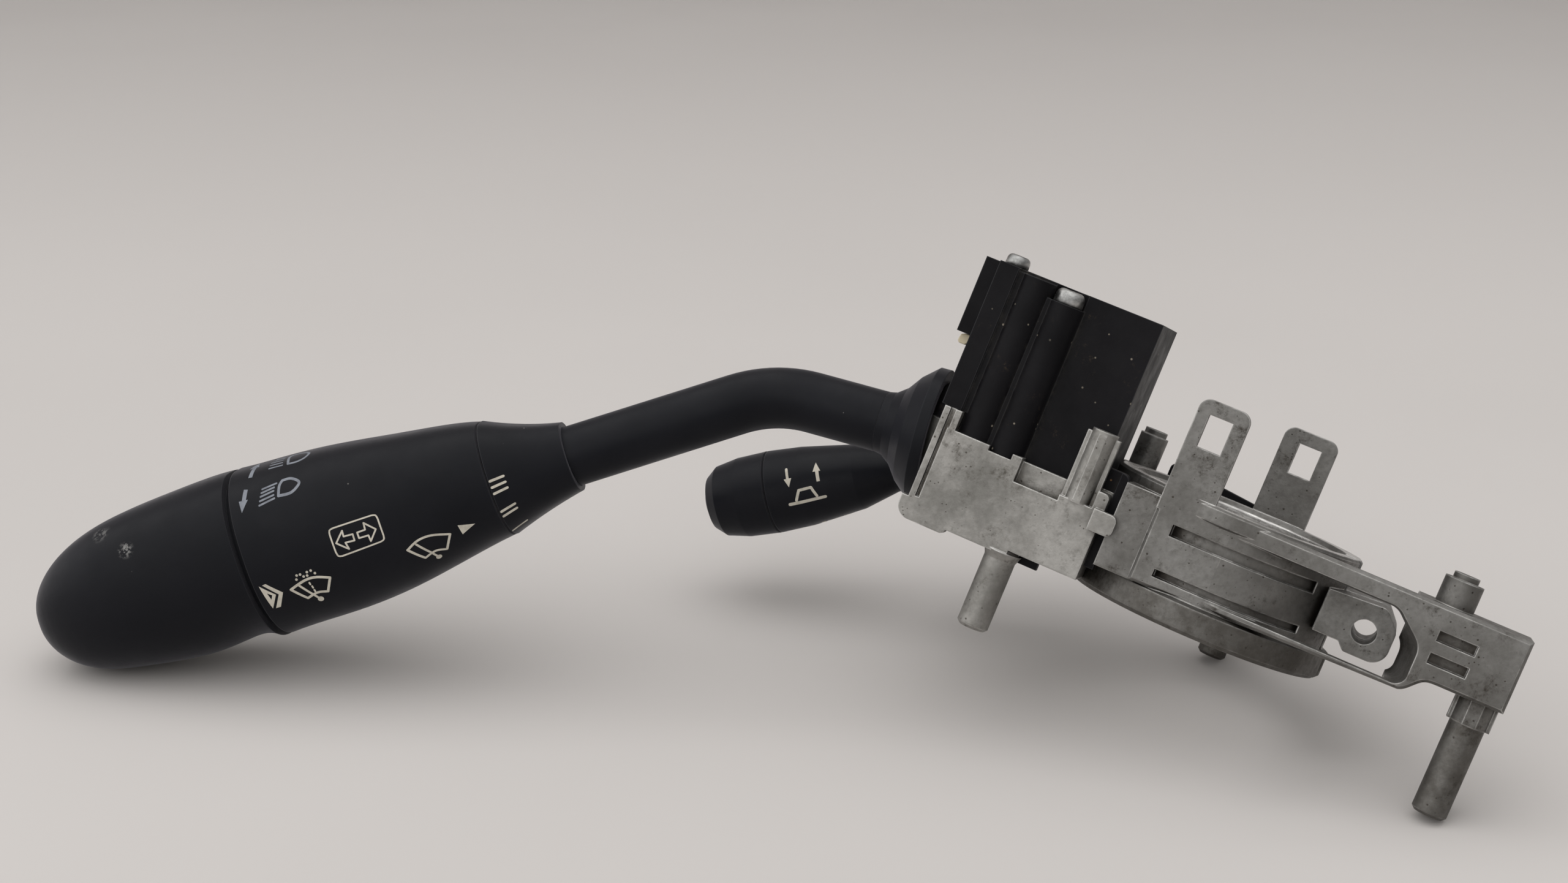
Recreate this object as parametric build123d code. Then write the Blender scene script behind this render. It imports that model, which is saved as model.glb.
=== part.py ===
from build123d import *
import os
from math import cos, pi, sin

# Sizes are in millimetres. The model is built in the column frame: the origin is on the
# steering column's axis at the bottom of the carrier's flange, +Z runs along the column,
# +X along the arm, -X towards the stalks and -Y towards the driver's eye.
# rest() then tips the whole switch over to the way it lies on a bench.

# Rest: turns about X, Y and Z, then the shift that puts the lowest point on Z = 0
LEAN = (-13.89, 21.57, -17.24)
REST_SHIFT = (89.04, -15.01, 21.23)

# General clearances
FACE_GAP = 0.3        # between faces of pieces that move past each other
FIT_GAP = 0.04        # radial, turning pin in its bearing
PRESS_GAP = 0.02      # radial, fixed pin in its hole
SEAT_GAP = 0.1        # between fixed pieces that drop into each other

# Column ring and flange of the carrier
BORE_R = 20.5
BORE_CHAMFER = 1.2
RING_R, RING_H = 24.5, 24.5
LIP_R, LIP_H = 25.2, 3.5
FLANGE_R, FLANGE_H, FLANGE_CHAMFER = 25.9, 5.2, 0.8
GROOVE_R, GROOVE_REACH, GROOVE_LEFT, GROOVE_RIGHT = 23.5, 5.0, -9.0, 19.0
GROOVES = ((16.0, 2.3), (7.8, 1.5))

# Arm: a plate at the ring's near side that ends in a thick block
ARM_FRONT, ARM_T = -RING_R, 2.8
ARM_LEFT, ARM_RIGHT = -13.0, 58.0
ARM_BOTTOM, ARM_TOP = 5.5, 24.0
ARM_CHAMFER = 0.6
BLOCK_LEFT, BLOCK_BOTTOM, BLOCK_T = 36.5, 10.0, 13.5
ARM_BEND = ((39.5, 6.6), (41.3, 7.8), (42.9, 9.4), (45.6, 10.0))
# Corners of the tapered window at the arm's face and at its back
WINDOW_FRONT = ((1.5, 7.3), (40.2, 7.3), (40.2, 15.4), (34.2, 20.6), (1.5, 20.6))
WINDOW_BACK = ((1.5, 7.5), (37.5, 7.5), (37.5, 13.2), (33.4, 18.4), (1.5, 18.4))
WINDOW_ROUNDS = (2.2, 4.0, 3.5)
POCKET_LEFT, POCKET_W, POCKET_H, POCKET_DEEP = 42.3, 7.2, 2.0, 1.6
POCKET_BOTTOMS = (17.5, 13.2)

# Clamp lugs on the split side of the ring
SLIT_Y, SLIT_W = -3.5, 3.0
LUG_T, LUG_REACH, LUG_ROUNDS = 10.0, 5.5, (1.0, 3.2, 2.0, 2.0)
CLAMP_X, CLAMP_Z, CLAMP_R = 30.3, 13.1, 2.35
LUG_TIP, LUG_ROOT = CLAMP_X + LUG_REACH, RING_R - 3.0
LUG_OUTLINE = ((LUG_ROOT, 9.7), (26.6, 9.7), (28.0, 8.2), (LUG_TIP, 8.2), (LUG_TIP, 15.2),
               (LUG_TIP - 3.0, 18.8), (LUG_ROOT, 18.1))

# Windowed tabs: centre, width, front, top and window centre of each
TAB_T, TAB_ROUND, TAB_FOOT = 2.0, 2.2, 20.0
TAB_WINDOW_W, TAB_WINDOW_H, TAB_WINDOW_DROP = 4.7, 6.4, 6.0
TABS = ((-8.15, 10.0, -RING_R, 42.6, -8.4), (6.3, 11.3, RING_R - TAB_T - 0.1, 43.4, 6.6))

# Locating pins of the carrier
UPPER_PIN_X, UPPER_PIN_Y, UPPER_PIN_R, UPPER_PIN_H = 43.1, -18.0, 3.65, 5.2
NUB_R, NUB_H, PIN_CHAMFER = 2.4, 1.2, 0.6
ARM_PIN_X, ARM_PIN_R, ARM_PIN_TIP = 53.5, 3.3, -12.9
PIN_ROOT_R, PIN_RIB_REACH, PIN_RIB_T, PIN_RIB_H = 3.6, 4.0, 2.6, 4.8
PEG_X, PEG_Y, PEG_R, PEG_TIP = 3.9, 35.0, 3.0, -8.2
REAR_LUG_R, REAR_LUG_BOTTOM, REAR_LUG_TOP = 5.5, 1.5, 6.5
REAR_PIN_X, REAR_PIN_Y, REAR_PIN_R, REAR_PIN_TOP = -24.0, 27.0, 3.0, 30.6
REAR_BOSS_R, REAR_BOSS_BOTTOM, REAR_BOSS_TOP = 4.2, 8.0, 23.5
REAR_WEB_RIGHT, REAR_WEB_T, REAR_WEB_BACK = -14.0, 4.0, 26.4

# Carrier's side, where the stalk base is screwed on
SIDE_LEFT, SIDE_FRONT, SIDE_BACK, SIDE_BOTTOM, SIDE_TOP = -20.0, -23.5, 20.0, 5.4, 22.2
PAD_R, PAD_YZ = 4.5, ((-13.8, 9.6), (14.5, 9.6))
BASE_SCREW_R, BASE_HEAD_R, BASE_HEAD_H, BASE_SCREW_BITE = 2.0, 3.6, 2.4, 4.4
HOLE_SPARE = 0.3

# Stalk base casting
BASE_LEFT, BASE_RIGHT, BASE_FRONT, BASE_BACK, BASE_TOP = -56.0, -22.0, -23.0, 22.0, 19.0
BASE_FLOOR, FRONT_WALL, BACK_WALL, LEFT_WALL, RIGHT_WALL = 3.0, 4.3, 3.6, 3.0, 5.5
LIP_LEFT, LIP_RIGHT, LIP_TOP, LIP_T = -40.2, -31.0, 13.8, 1.2
BAND_TOP, BAND_T, POCKET_FLOOR = 18.0, 1.9, 11.5
FRONT_STEPS = ((BASE_LEFT, -47.0, 18.4), (-47.0, -42.2, 17.4), (-42.2, LIP_LEFT, 18.6),
               (LIP_LEFT, LIP_RIGHT, LIP_TOP), (LIP_RIGHT, BASE_RIGHT, 15.0))
STUD_LEFT, STUD_TOP, STUD_ROUND = -24.4, 18.5, 1.0
RIDGE_LEFT, RIDGE_W, RIDGE_T, RIDGE_BOTTOM, RIDGE_TOP = -58.0, 3.6, 2.5, 1.5, 22.3
RIDGE_GROOVE_X, RIDGE_GROOVE_W, RIDGE_GROOVE_DEEP = -56.8, 1.1, 1.0
SILL_LEFT, SILL_RIGHT, SILL_BOTTOM, SILL_TOP, SILL_ROUNDS = -59.3, -48.8, -1.0, 3.3, (2.8, 1.0)
HOOK_LEFT, HOOK_RIGHT, HOOK_BOTTOM, HOOK_TOP, HOOK_T, HOOK_ROUND = -23.6, -18.8, 11.2, 15.4, 2.0, 1.3
POST_X, POST_Y, POST_R, POST_FOOT, POST_TOP = -27.6, -21.0, 2.6, 14.8, 29.3
POST_RIB_R, POST_RIB_T, POST_RIB_TOP = 3.3, 1.6, 28.6
STALK_PIN_X, STALK_PIN_Y, STALK_PIN_R, STALK_PIN_TIP = -37.3, -19.8, 3.15, -15.6
PIN_FLARE, PIN_FLARE_H = 0.7, 1.2
LEG_X, LEG_W, LEG_TIP = -32.2, 4.0, -0.7
FOOT_STEP_X, FOOT_STEP_H = -36.0, 1.2
SIDE_SCREW_X, SIDE_SCREW_Z = -33.5, (6.0, 14.0)

# Lever pivot, and the hollow dome that its boot slides on
PIVOT_PLACE = (-47.2, -3.1, 16.4)
DOME_R, DOME_T = 18.0, 2.0
MOUTH_W, MOUTH_H, MOUTH_ROUND, MOUTH_REACH = 16.6, 14.4, 4.5, 8.0
TURN_REST = 3.5

# Switch housing
HOUSING_LEFT, HOUSING_RIGHT = -59.0, -25.7
HOUSING_FRONT, HOUSING_BACK, HOUSING_TOP = -18.6, 20.5, 52.0
CORNER_X, CORNER_Y, SIDE_WALL, SKIRT_BOTTOM = -28.6, 6.0, 2.0, 13.8
RECESS_X, RECESS_FRONT, RECESS_TOP = -56.0, -20.4, 34.5
SLAB_W, SLAB_FRONT = 4.0, -22.0
COLUMN_R, COLUMN_Y = 3.6, -19.0
COLUMNS = ((-50.9, 18.5, 51.4), (-44.2, 17.3, 48.7))
VALLEY_FRONT = -21.1
SHOULDER_TOP, SHOULDER_T, SHOULDER_ROUND, TONGUE_FRONT, TONGUE_TIP = 23.2, 2.0, 1.5, -20.1, 4.0
BACK_COLUMNS = ((-47.0, 15.6), (-34.8, 15.6))
BASE_BOSS_R = 3.4
CHAMBER_LEFT, CHAMBER_RIGHT, CHAMBER_FRONT, CHAMBER_BACK = -54.0, -27.5, -16.8, 18.4
CHAMBER_TOP = 29.4
SOCKET_FRONT, SOCKET_BACK, SOCKET_BOTTOM, SOCKET_TOP, SOCKET_RIGHT = -10.0, 12.0, 37.6, 50.2, -31.0
SCREW_R, SCREW_HEAD_R, SCREW_HEAD_H, SCREW_BITE, HEAD_ROOM = 1.5, 2.95, 2.9, 8.0, 0.35
ROOF_SCREW_X, ROOF_SCREW_Y, ROOF_SCREW_R, ROOF_HEAD_R, ROOF_HEAD_H = -56.8, -16.0, 1.2, 2.4, 2.2

# Connector on the housing's left side
SHROUD_LEFT, SHROUD_BOTTOM, SHROUD_WALL, SHROUD_BACK_T = -63.9, 36.2, 1.6, 1.8
SHROUD_FRONT, SHROUD_REAR = -11.8, 13.8
PLUG_DEEP, MOUTH_DEEP, MOUTH_MARGIN = 4.0, 2.0, 1.5
PIN_COUNT, PIN_PITCH, PIN_W, PIN_T, PIN_OUT, PIN_IN = 8, 2.5, 1.2, 0.7, 3.4, 6.5
LATCH_LEFT, LATCH_FRONT, LATCH_BACK, LATCH_T = -61.8, -9.0, 9.0, 1.4
BOARD_Z, BOARD_T, BOARD_PART_H = 44.4, 1.6, 2.2
BOARD_PARTS = ((-44.0, -36.0, -4.0, 4.0), (-48.0, -45.5, 5.0, 10.0), (-42.0, -35.0, 6.0, 8.0))

# Turn and dip mechanism
YOKE_FRONT, YOKE_BACK, YOKE_HALF_Y, YOKE_HALF_Z = 5.6, 7.7, 8.0, 10.4
YOKE_WALL, YOKE_PLATE = 2.5, 2.2
WING_REACH, WING_HALF = 13.0, 4.5
TRUNNION_R, TRUNNION_L, BEARING_R = 2.5, 3.6, 5.5
BEAM_PIN_R, HUB_R, STEM_R, STEM_L = 2.0, 5.0, 4.0, 32.0
TAIL_R, TAIL_L, TAIL_BORE = 3.2, 12.0, 6.5
PLUNGER_R, PLUNGER_L, PLUNGER_REACH = 1.8, 8.0, 14.9
DETENT_R, DETENT_W, DETENT_H, DETENT_T, DETENT_NOTCH_R = 15.25, 12.0, 12.0, 4.0, 1.5
DETENT_STEP = 11.0
SLIDER_T, PLATE_T, PLATE_LEFT = 0.7, 1.5, -51.2

# Boot, neck and collar of the big lever
BOOT_GAP = 0.35
BOOT_RIM_S = 14.3
BOOT_OUTER = ((BOOT_RIM_S, 13.7), (16.5, 13.7), (19.6, 11.0), (21.8, 8.1), (23.9, 6.55), (25.6, 6.2))
NECK_R, NECK_BEND_R, NECK_END = 6.25, 25.0, 9.0
NECK_PLACE = (-95.3, -6.0, 10.1)
COLLAR_PLACE = (-126.2, -20.0, -17.2)

# Handle: stations along its axis as (distance, upper edge, lower edge, half depth)
HANDLE_AXIS = Vector(-0.7448, -0.1641, -0.6468)
HANDLE_UP = Vector(-0.6363, -0.1171, 0.7625)
COLLAR_STATIONS = ((0.0, 7.3, -7.3, 7.3), (7.0, 9.2, -8.9, 9.0), (15.5, 12.6, -11.5, 11.6))
HANDLE_STATIONS = ((16.0, 12.6, -11.5, 11.6), (27.7, 14.9, -13.5, 13.3), (36.6, 16.2, -15.1, 14.6),
                   (45.0, 17.4, -16.1, 15.6), (56.0, 18.4, -16.4, 16.3), (66.5, 19.0, -16.5, 16.6))
CAP_STATIONS = ((68.0, 19.0, -16.6, 16.6), (82.0, 18.9, -15.6, 16.2), (92.0, 18.2, -14.8, 15.6),
                (101.0, 16.6, -13.3, 14.4), (108.0, 13.8, -11.2, 12.2), (112.5, 10.6, -8.2, 9.6),
                (115.8, 6.2, -3.6, 5.6))
SECTION_POWER, SECTION_POINTS = 2.35, 16
ROD_R, ROD_START, ROD_END = 4.5, 3.0, 51.0
CAVITY_R, CAVITY_START, POCKET_START = 10.2, 20.0, 60.3
MOUTH_WALL, SPIGOT_START = 1.4, 62.0
CLICK_R, CLICK_START, CLICK_T, CLICKS, CLICK_NOTCH_R, NIB_W = 9.0, 30.0, 5.0, 12, 0.9, 1.6
HUB_DISC_START, HUB_DISC_T = 44.0, 4.0
CLIP_START, CLIP_T, CLIP_R, CLIP_BORE = 48.4, 1.0, 6.5, 3.9
WASH_START, WASH_END, WASH_R, WASH_BORE_R, WASH_BORE_START = 53.0, 59.0, 9.6, 2.4, 55.0
CAP_CAVITY_R, CAP_CAVITY_END = 8.5, 72.0
WASH_PIN_R, WASH_PIN_TIP, WASH_FLANGE_R, WASH_FLANGE_T = 2.0, 57.5, 5.5, 2.0

# Small adjusting lever behind the big one
ADJUST_PLACE = (-52.0, 32.0, 15.7)
ADJUST_AXIS = Vector(-0.8405, 0.0, -0.5418)
REAR_LEFT, REAR_RIGHT, REAR_FRONT, REAR_BACK = -59.5, -37.5, 22.2, 42.0
REAR_BOTTOM, REAR_TOP, REAR_FLOOR, REAR_COVER_T = 0.5, 26.2, 3.0, 4.0
REAR_CHAMBER_LEFT, REAR_CHAMBER_RIGHT, REAR_WALL = -57.5, -42.5, 2.0
REAR_MOUTH_HALF_Y, REAR_MOUTH_BOTTOM, REAR_MOUTH_TOP = 4.9, 5.0, 18.0
EAR_RIGHT, EAR_T, EAR_TOP = -29.0, 3.0, 17.5
EAR_SCREW_R, EAR_HEAD_R, EAR_HEAD_H, EAR_BITE = 1.25, 2.3, 1.9, 3.2
COVER_SCREWS = ((-40.0, 26.2), (-40.0, 38.0))
AYOKE_FRONT, AYOKE_BACK, AYOKE_HALF_Y, AYOKE_HALF_Z, AYOKE_WALL, AYOKE_PLATE = 3.4, 5.5, 6.5, 10.0, 2.0, 2.0
ATRUNNION_R, ATRUNNION_L, ABEARING_R = 2.0, 3.0, 4.0
APIN_R, AHUB_R, ASTEM_R, ASTEM_L = 1.5, 4.0, 3.5, 30.0
ABODY = ((14.0, 4.3), (26.0, 4.8), (34.0, 7.2), (46.0, 8.8), (53.6, 9.2))
SPINDLE_R, SPINDLE_END = 3.0, 63.0
KNOB = ((54.1, 9.2), (61.0, 8.9), (66.0, 7.9), (68.3, 6.0), (69.3, 3.2))
KNOB_BORE_END = 64.0

# Wiring guide behind the ring
GUIDE_LEFT, GUIDE_RIGHT, GUIDE_FRONT, GUIDE_T = -18.5, 3.0, 27.0, 2.2
GUIDE_BOTTOM, GUIDE_TOP_LEFT, GUIDE_TOP_RIGHT = 14.0, 27.0, 25.0
GUIDE_LEGS, GUIDE_LEG_W, GUIDE_LEG_H, GUIDE_LEG_FRONT = (-12.5, -2.0), 3.0, 5.0, 15.0
GUIDE_ROUND = 1.2

ON_END = (Align.CENTER, Align.CENTER, Align.MIN)
PIVOT, NECK_CORNER = Vector(*PIVOT_PLACE), Vector(*NECK_PLACE)
COLLAR_START, ADJUST_PIVOT = Vector(*COLLAR_PLACE), Vector(*ADJUST_PLACE)
STEM_AXIS = (NECK_CORNER - PIVOT).normalized()


def block(x0, x1, y0, y1, z0, z1):
    return Pos(x0, y0, z0) * Box(x1 - x0, y1 - y0, z1 - z0, align=(Align.MIN,) * 3)


def post(x, y, z0, z1, radius):
    return Pos(x, y, min(z0, z1)) * Cylinder(radius, abs(z1 - z0), align=ON_END)


def bar(start, axis, s0, s1, radius):
    """A round bar along axis, from s0 to s1 beyond start."""
    return Plane(origin=start + axis * s0, z_dir=axis) * Cylinder(radius, s1 - s0, align=ON_END)


def turned(start, axis, profile):
    """A solid turned about axis from (distance, radius) points."""
    points = [(0, profile[0][0])] + [(r, s) for s, r in profile] + [(0, profile[-1][0])]
    face = Plane.XZ * make_face(Polyline(*points, close=True))
    return Plane(origin=start, z_dir=axis) * revolve(face, Axis.Z)


def rounded_pin(x, y, root, tip, radius):
    pin = post(x, y, root, tip, radius)
    end = pin.faces().sort_by(Axis.Z)[0 if tip < root else -1]
    return chamfer(end.edges(), PIN_CHAMFER)


def front_slab(sketch, y0, y1, taper=0):
    """Extrudes a sketch drawn in X and Z between the planes Y = y0 and Y = y1."""
    return extrude(Plane.XZ.offset(-y1) * sketch, y1 - y0, taper=taper)


def screw(start, axis, radius, length, head_r, head_h):
    """Pan-head screw: start is under its head, axis points to its tip."""
    head = ((-head_h, 0.75 * head_r), (-0.7 * head_h, head_r), (0, head_r))
    return turned(start, axis, head + ((0, radius), (length, radius)))


# ---- carrier ----

def ring_blank():
    points = [(0, 0), (FLANGE_R - FLANGE_CHAMFER, 0), (FLANGE_R, FLANGE_CHAMFER),
              (FLANGE_R, FLANGE_H), (RING_R, FLANGE_H + 0.6), (RING_R, RING_H - LIP_H),
              (LIP_R, RING_H - LIP_H + 0.5), (LIP_R, RING_H - 0.5), (LIP_R - 0.5, RING_H), (0, RING_H)]
    return revolve(Plane.XZ * make_face(Polyline(*points, close=True)), Axis.Z)


def arm_window():
    """Tapered window through the arm, narrower at the back."""
    faces = []
    for outline, y in ((WINDOW_FRONT, ARM_FRONT), (WINDOW_BACK, ARM_FRONT + BLOCK_T)):
        face = make_face(Polyline(*outline, close=True))
        for corner, radius in zip(outline[1:4], WINDOW_ROUNDS):
            face = fillet(face.vertices().sort_by_distance((*corner, 0))[0], radius)
        faces.append(Plane.XZ.offset(-y) * face)
    window = loft(faces, ruled=True)
    window += extrude(faces[0], 1, dir=(0, -1, 0))
    return window + extrude(faces[1], 1, dir=(0, 1, 0))


def arm():
    low = Line((ARM_LEFT, ARM_BOTTOM), ARM_BEND[0])
    bend = Spline(*ARM_BEND, tangents=((1, 0.3), (1, 0)))
    others = Polyline(ARM_BEND[-1], (ARM_RIGHT, BLOCK_BOTTOM), (ARM_RIGHT, ARM_TOP), (ARM_LEFT, ARM_TOP),
                      (ARM_LEFT, ARM_BOTTOM))
    back = ARM_FRONT + BLOCK_T
    plate = front_slab(make_face([low, bend, others]), ARM_FRONT, back)
    plate = chamfer(plate.faces().sort_by(Axis.Y)[0].outer_wire().edges(), ARM_CHAMFER)
    plate -= block(ARM_LEFT - 1, BLOCK_LEFT, ARM_FRONT + ARM_T, back + 1, 0, RING_H + 1)
    return plate - arm_window()


def arm_pockets():
    pockets = Part()
    for bottom in POCKET_BOTTOMS:
        pockets += block(POCKET_LEFT, POCKET_LEFT + POCKET_W, ARM_FRONT - 1, ARM_FRONT + POCKET_DEEP,
                         bottom, bottom + POCKET_H)
    return pockets


def clamp_lugs():
    face = make_face(Polyline(*LUG_OUTLINE, close=True))
    for corner, radius in zip(LUG_OUTLINE[2:6], LUG_ROUNDS):
        face = fillet(face.vertices().sort_by_distance((*corner, 0))[0], radius)
    half = LUG_T + SLIT_W / 2
    return front_slab(face, SLIT_Y - half, SLIT_Y + half)


def tab(x, width, front, top, window_x):
    outline = Pos(x, (TAB_FOOT + top) / 2) * Rectangle(width, top - TAB_FOOT)
    outline = fillet(outline.vertices().group_by(Axis.Y)[-1], TAB_ROUND)
    outline -= Pos(window_x, top - TAB_WINDOW_DROP) * Rectangle(TAB_WINDOW_W, TAB_WINDOW_H)
    return front_slab(outline, front, front + TAB_T)


def carrier_pins():
    upper = UPPER_PIN_H + ARM_TOP
    pins = post(UPPER_PIN_X, UPPER_PIN_Y, ARM_TOP - 1, upper, UPPER_PIN_R)
    pins += post(UPPER_PIN_X, UPPER_PIN_Y, upper, upper + NUB_H, NUB_R)
    pins += rounded_pin(ARM_PIN_X, UPPER_PIN_Y, BLOCK_BOTTOM + 1, ARM_PIN_TIP, ARM_PIN_R)
    rib_bottom, reach, half = BLOCK_BOTTOM - PIN_RIB_H, PIN_RIB_REACH, PIN_RIB_T / 2
    pins += post(ARM_PIN_X, UPPER_PIN_Y, rib_bottom, BLOCK_BOTTOM + 1, PIN_ROOT_R)
    for dx, dy in ((reach, half), (half, reach)):
        pins += block(ARM_PIN_X - dx, ARM_PIN_X + dx, UPPER_PIN_Y - dy, UPPER_PIN_Y + dy, rib_bottom,
                      BLOCK_BOTTOM + 1)
    pins += rounded_pin(PEG_X, PEG_Y, REAR_LUG_BOTTOM + 1, PEG_TIP, PEG_R)
    pins += post(REAR_PIN_X, REAR_PIN_Y, REAR_BOSS_TOP - 1, REAR_PIN_TOP, REAR_PIN_R)
    return pins + post(REAR_PIN_X, REAR_PIN_Y, REAR_PIN_TOP, REAR_PIN_TOP + NUB_H, NUB_R)


def rear_lugs():
    lug = block(PEG_X - REAR_LUG_R, PEG_X + REAR_LUG_R, BORE_R, PEG_Y, REAR_LUG_BOTTOM, REAR_LUG_TOP)
    lug += post(PEG_X, PEG_Y, REAR_LUG_BOTTOM, REAR_LUG_TOP, REAR_LUG_R)
    boss = post(REAR_PIN_X, REAR_PIN_Y, REAR_BOSS_BOTTOM, REAR_BOSS_TOP, REAR_BOSS_R)
    web = block(BASE_RIGHT + SEAT_GAP, REAR_WEB_RIGHT, SIDE_BACK - REAR_WEB_T, REAR_WEB_BACK,
                REAR_BOSS_BOTTOM, REAR_BOSS_TOP)
    web += block(REAR_PIN_X, REAR_WEB_RIGHT, BASE_BACK + FACE_GAP, REAR_WEB_BACK, REAR_BOSS_BOTTOM,
                 REAR_BOSS_TOP)
    return lug + boss + web


def column_carrier():
    body = ring_blank() + rear_lugs() + carrier_pins() + clamp_lugs()
    body += block(SIDE_LEFT, ARM_LEFT + 1, SIDE_FRONT, SIDE_BACK, SIDE_BOTTOM, SIDE_TOP)
    for y, z in PAD_YZ:
        body += bar(Vector(BASE_RIGHT, y, z), Vector(1, 0, 0), 0, BASE_SCREW_BITE + 1.5, PAD_R)
    for place in TABS:
        body += tab(*place)
    body += arm() - arm_pockets()
    for bottom, height in GROOVES:
        groove = Pos(0, 0, bottom) * Cylinder(RING_R + GROOVE_REACH, height, align=ON_END)
        groove -= Pos(0, 0, bottom) * Cylinder(GROOVE_R, height, align=ON_END)
        body -= groove & block(GROOVE_LEFT, GROOVE_RIGHT, ARM_FRONT - 1, -RING_R / 2, bottom,
                               bottom + height)
    body -= post(0, 0, -1, RING_H, BORE_R)
    body -= Pos(0, 0, RING_H - BORE_CHAMFER) * Cone(BORE_R, BORE_R + BORE_CHAMFER, BORE_CHAMFER,
                                                    align=ON_END)
    body -= block(BORE_R / 2, LUG_TIP + 1, SLIT_Y - SLIT_W / 2, SLIT_Y + SLIT_W / 2, -1, RING_H + 1)
    reach = SLIT_W / 2 + LUG_T + 1
    body -= bar(Vector(CLAMP_X, SLIT_Y, CLAMP_Z), Vector(0, 1, 0), -reach, reach, CLAMP_R)
    for y, z in PAD_YZ:
        body -= bar(Vector(BASE_RIGHT - RIGHT_WALL, y, z), Vector(1, 0, 0), 0,
                    RIGHT_WALL + BASE_SCREW_BITE + HOLE_SPARE, BASE_SCREW_R + PRESS_GAP)
    return body


# ---- stalk base and switch housing ----

def dome(side_z0, side_z1, left):
    reach = DOME_R + 1
    shell = Pos(*PIVOT) * Sphere(DOME_R)
    return shell & block(PIVOT.X - reach, left, PIVOT.Y - reach, PIVOT.Y + reach, side_z0, side_z1)


def left_of_pivot(z0, z1):
    return block(PIVOT.X - 2 * DOME_R, PIVOT.X, PIVOT.Y - 2 * DOME_R, PIVOT.Y + 2 * DOME_R, z0, z1)


def dome_inside():
    inside = Pos(*PIVOT) * Sphere(DOME_R - DOME_T)
    mouth = Plane(origin=PIVOT, x_dir=(0, 1, 0), z_dir=STEM_AXIS)
    outline = mouth * RectangleRounded(MOUTH_W, MOUTH_H, MOUTH_ROUND)
    return inside + extrude(outline, DOME_R + MOUTH_REACH)


def base_front():
    """Near wall with its stepped top, ridge, sill and hook."""
    wall = Part()
    for x0, x1, top in FRONT_STEPS:
        wall += block(x0, x1, BASE_FRONT, BASE_FRONT + FRONT_WALL, 0, top)
    back = BASE_FRONT + FRONT_WALL
    wall += block(LIP_LEFT, LIP_RIGHT, back - BAND_T, back, 0, BAND_TOP)
    wall -= block(LIP_LEFT, LIP_RIGHT, BASE_FRONT + LIP_T, back - BAND_T, POCKET_FLOOR, BAND_TOP + 1)
    stud = block(STUD_LEFT, BASE_RIGHT, BASE_FRONT, back, 0, STUD_TOP)
    wall += fillet(stud.edges().filter_by(Axis.Y).group_by(Axis.Z)[-1].sort_by(Axis.X)[-1], STUD_ROUND)
    ridge = block(RIDGE_LEFT, RIDGE_LEFT + RIDGE_W, BASE_FRONT, BASE_FRONT + RIDGE_T, RIDGE_BOTTOM,
                  RIDGE_TOP)
    ridge -= block(RIDGE_GROOVE_X, RIDGE_GROOVE_X + RIDGE_GROOVE_W, BASE_FRONT - 1,
                   BASE_FRONT + RIDGE_GROOVE_DEEP, SILL_TOP + 0.5, RIDGE_TOP + 1)
    sill = block(SILL_LEFT, SILL_RIGHT, BASE_FRONT, BASE_FRONT + RIDGE_T, SILL_BOTTOM, SILL_TOP)
    low_edges = sill.edges().filter_by(Axis.Y).group_by(Axis.Z)[0].sort_by(Axis.X)
    for edge, radius in zip(low_edges, SILL_ROUNDS):
        sill = fillet(sill.edges().sort_by_distance(edge.center())[0], radius)
    hook = block(HOOK_LEFT, HOOK_RIGHT, SIDE_FRONT - SEAT_GAP - HOOK_T, SIDE_FRONT - SEAT_GAP,
                 HOOK_BOTTOM, HOOK_TOP)
    hook = fillet(hook.edges().filter_by(Axis.Y).group_by(Axis.X)[-1], HOOK_ROUND)
    hook += block(HOOK_LEFT, BASE_RIGHT, SIDE_FRONT - SEAT_GAP - HOOK_T, BASE_FRONT + FRONT_WALL,
                  HOOK_BOTTOM, HOOK_TOP)
    return wall + ridge + sill + hook


def base_post():
    pillar = post(POST_X, POST_Y, POST_FOOT, POST_TOP, POST_R)
    reach, half = POST_RIB_R, POST_RIB_T / 2
    for dx, dy in ((reach, half), (half, reach)):
        pillar += block(POST_X - dx, POST_X + dx, POST_Y - dy, POST_Y + dy, POST_FOOT, POST_RIB_TOP)
    return pillar & block(BASE_LEFT, BASE_RIGHT, POST_Y - POST_R, HOUSING_FRONT - SEAT_GAP, 0, POST_TOP)


def base_bosses():
    bosses = post(PIVOT.X, PIVOT.Y, 0, PIVOT.Z - YOKE_HALF_Z - FACE_GAP, BEARING_R)
    for x, bottom, top in COLUMNS[1:]:
        bosses += post(x, COLUMN_Y, 0, bottom - SEAT_GAP, BASE_BOSS_R)
    for x, y in BACK_COLUMNS:
        bosses += post(x, y, 0, BASE_TOP, BASE_BOSS_R)
    return bosses


def housing_screw_places():
    front = [(x, COLUMN_Y, bottom, top) for x, bottom, top in COLUMNS[1:]]
    return front + [(x, y, BASE_TOP, COLUMNS[1][2]) for x, y in BACK_COLUMNS]


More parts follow.
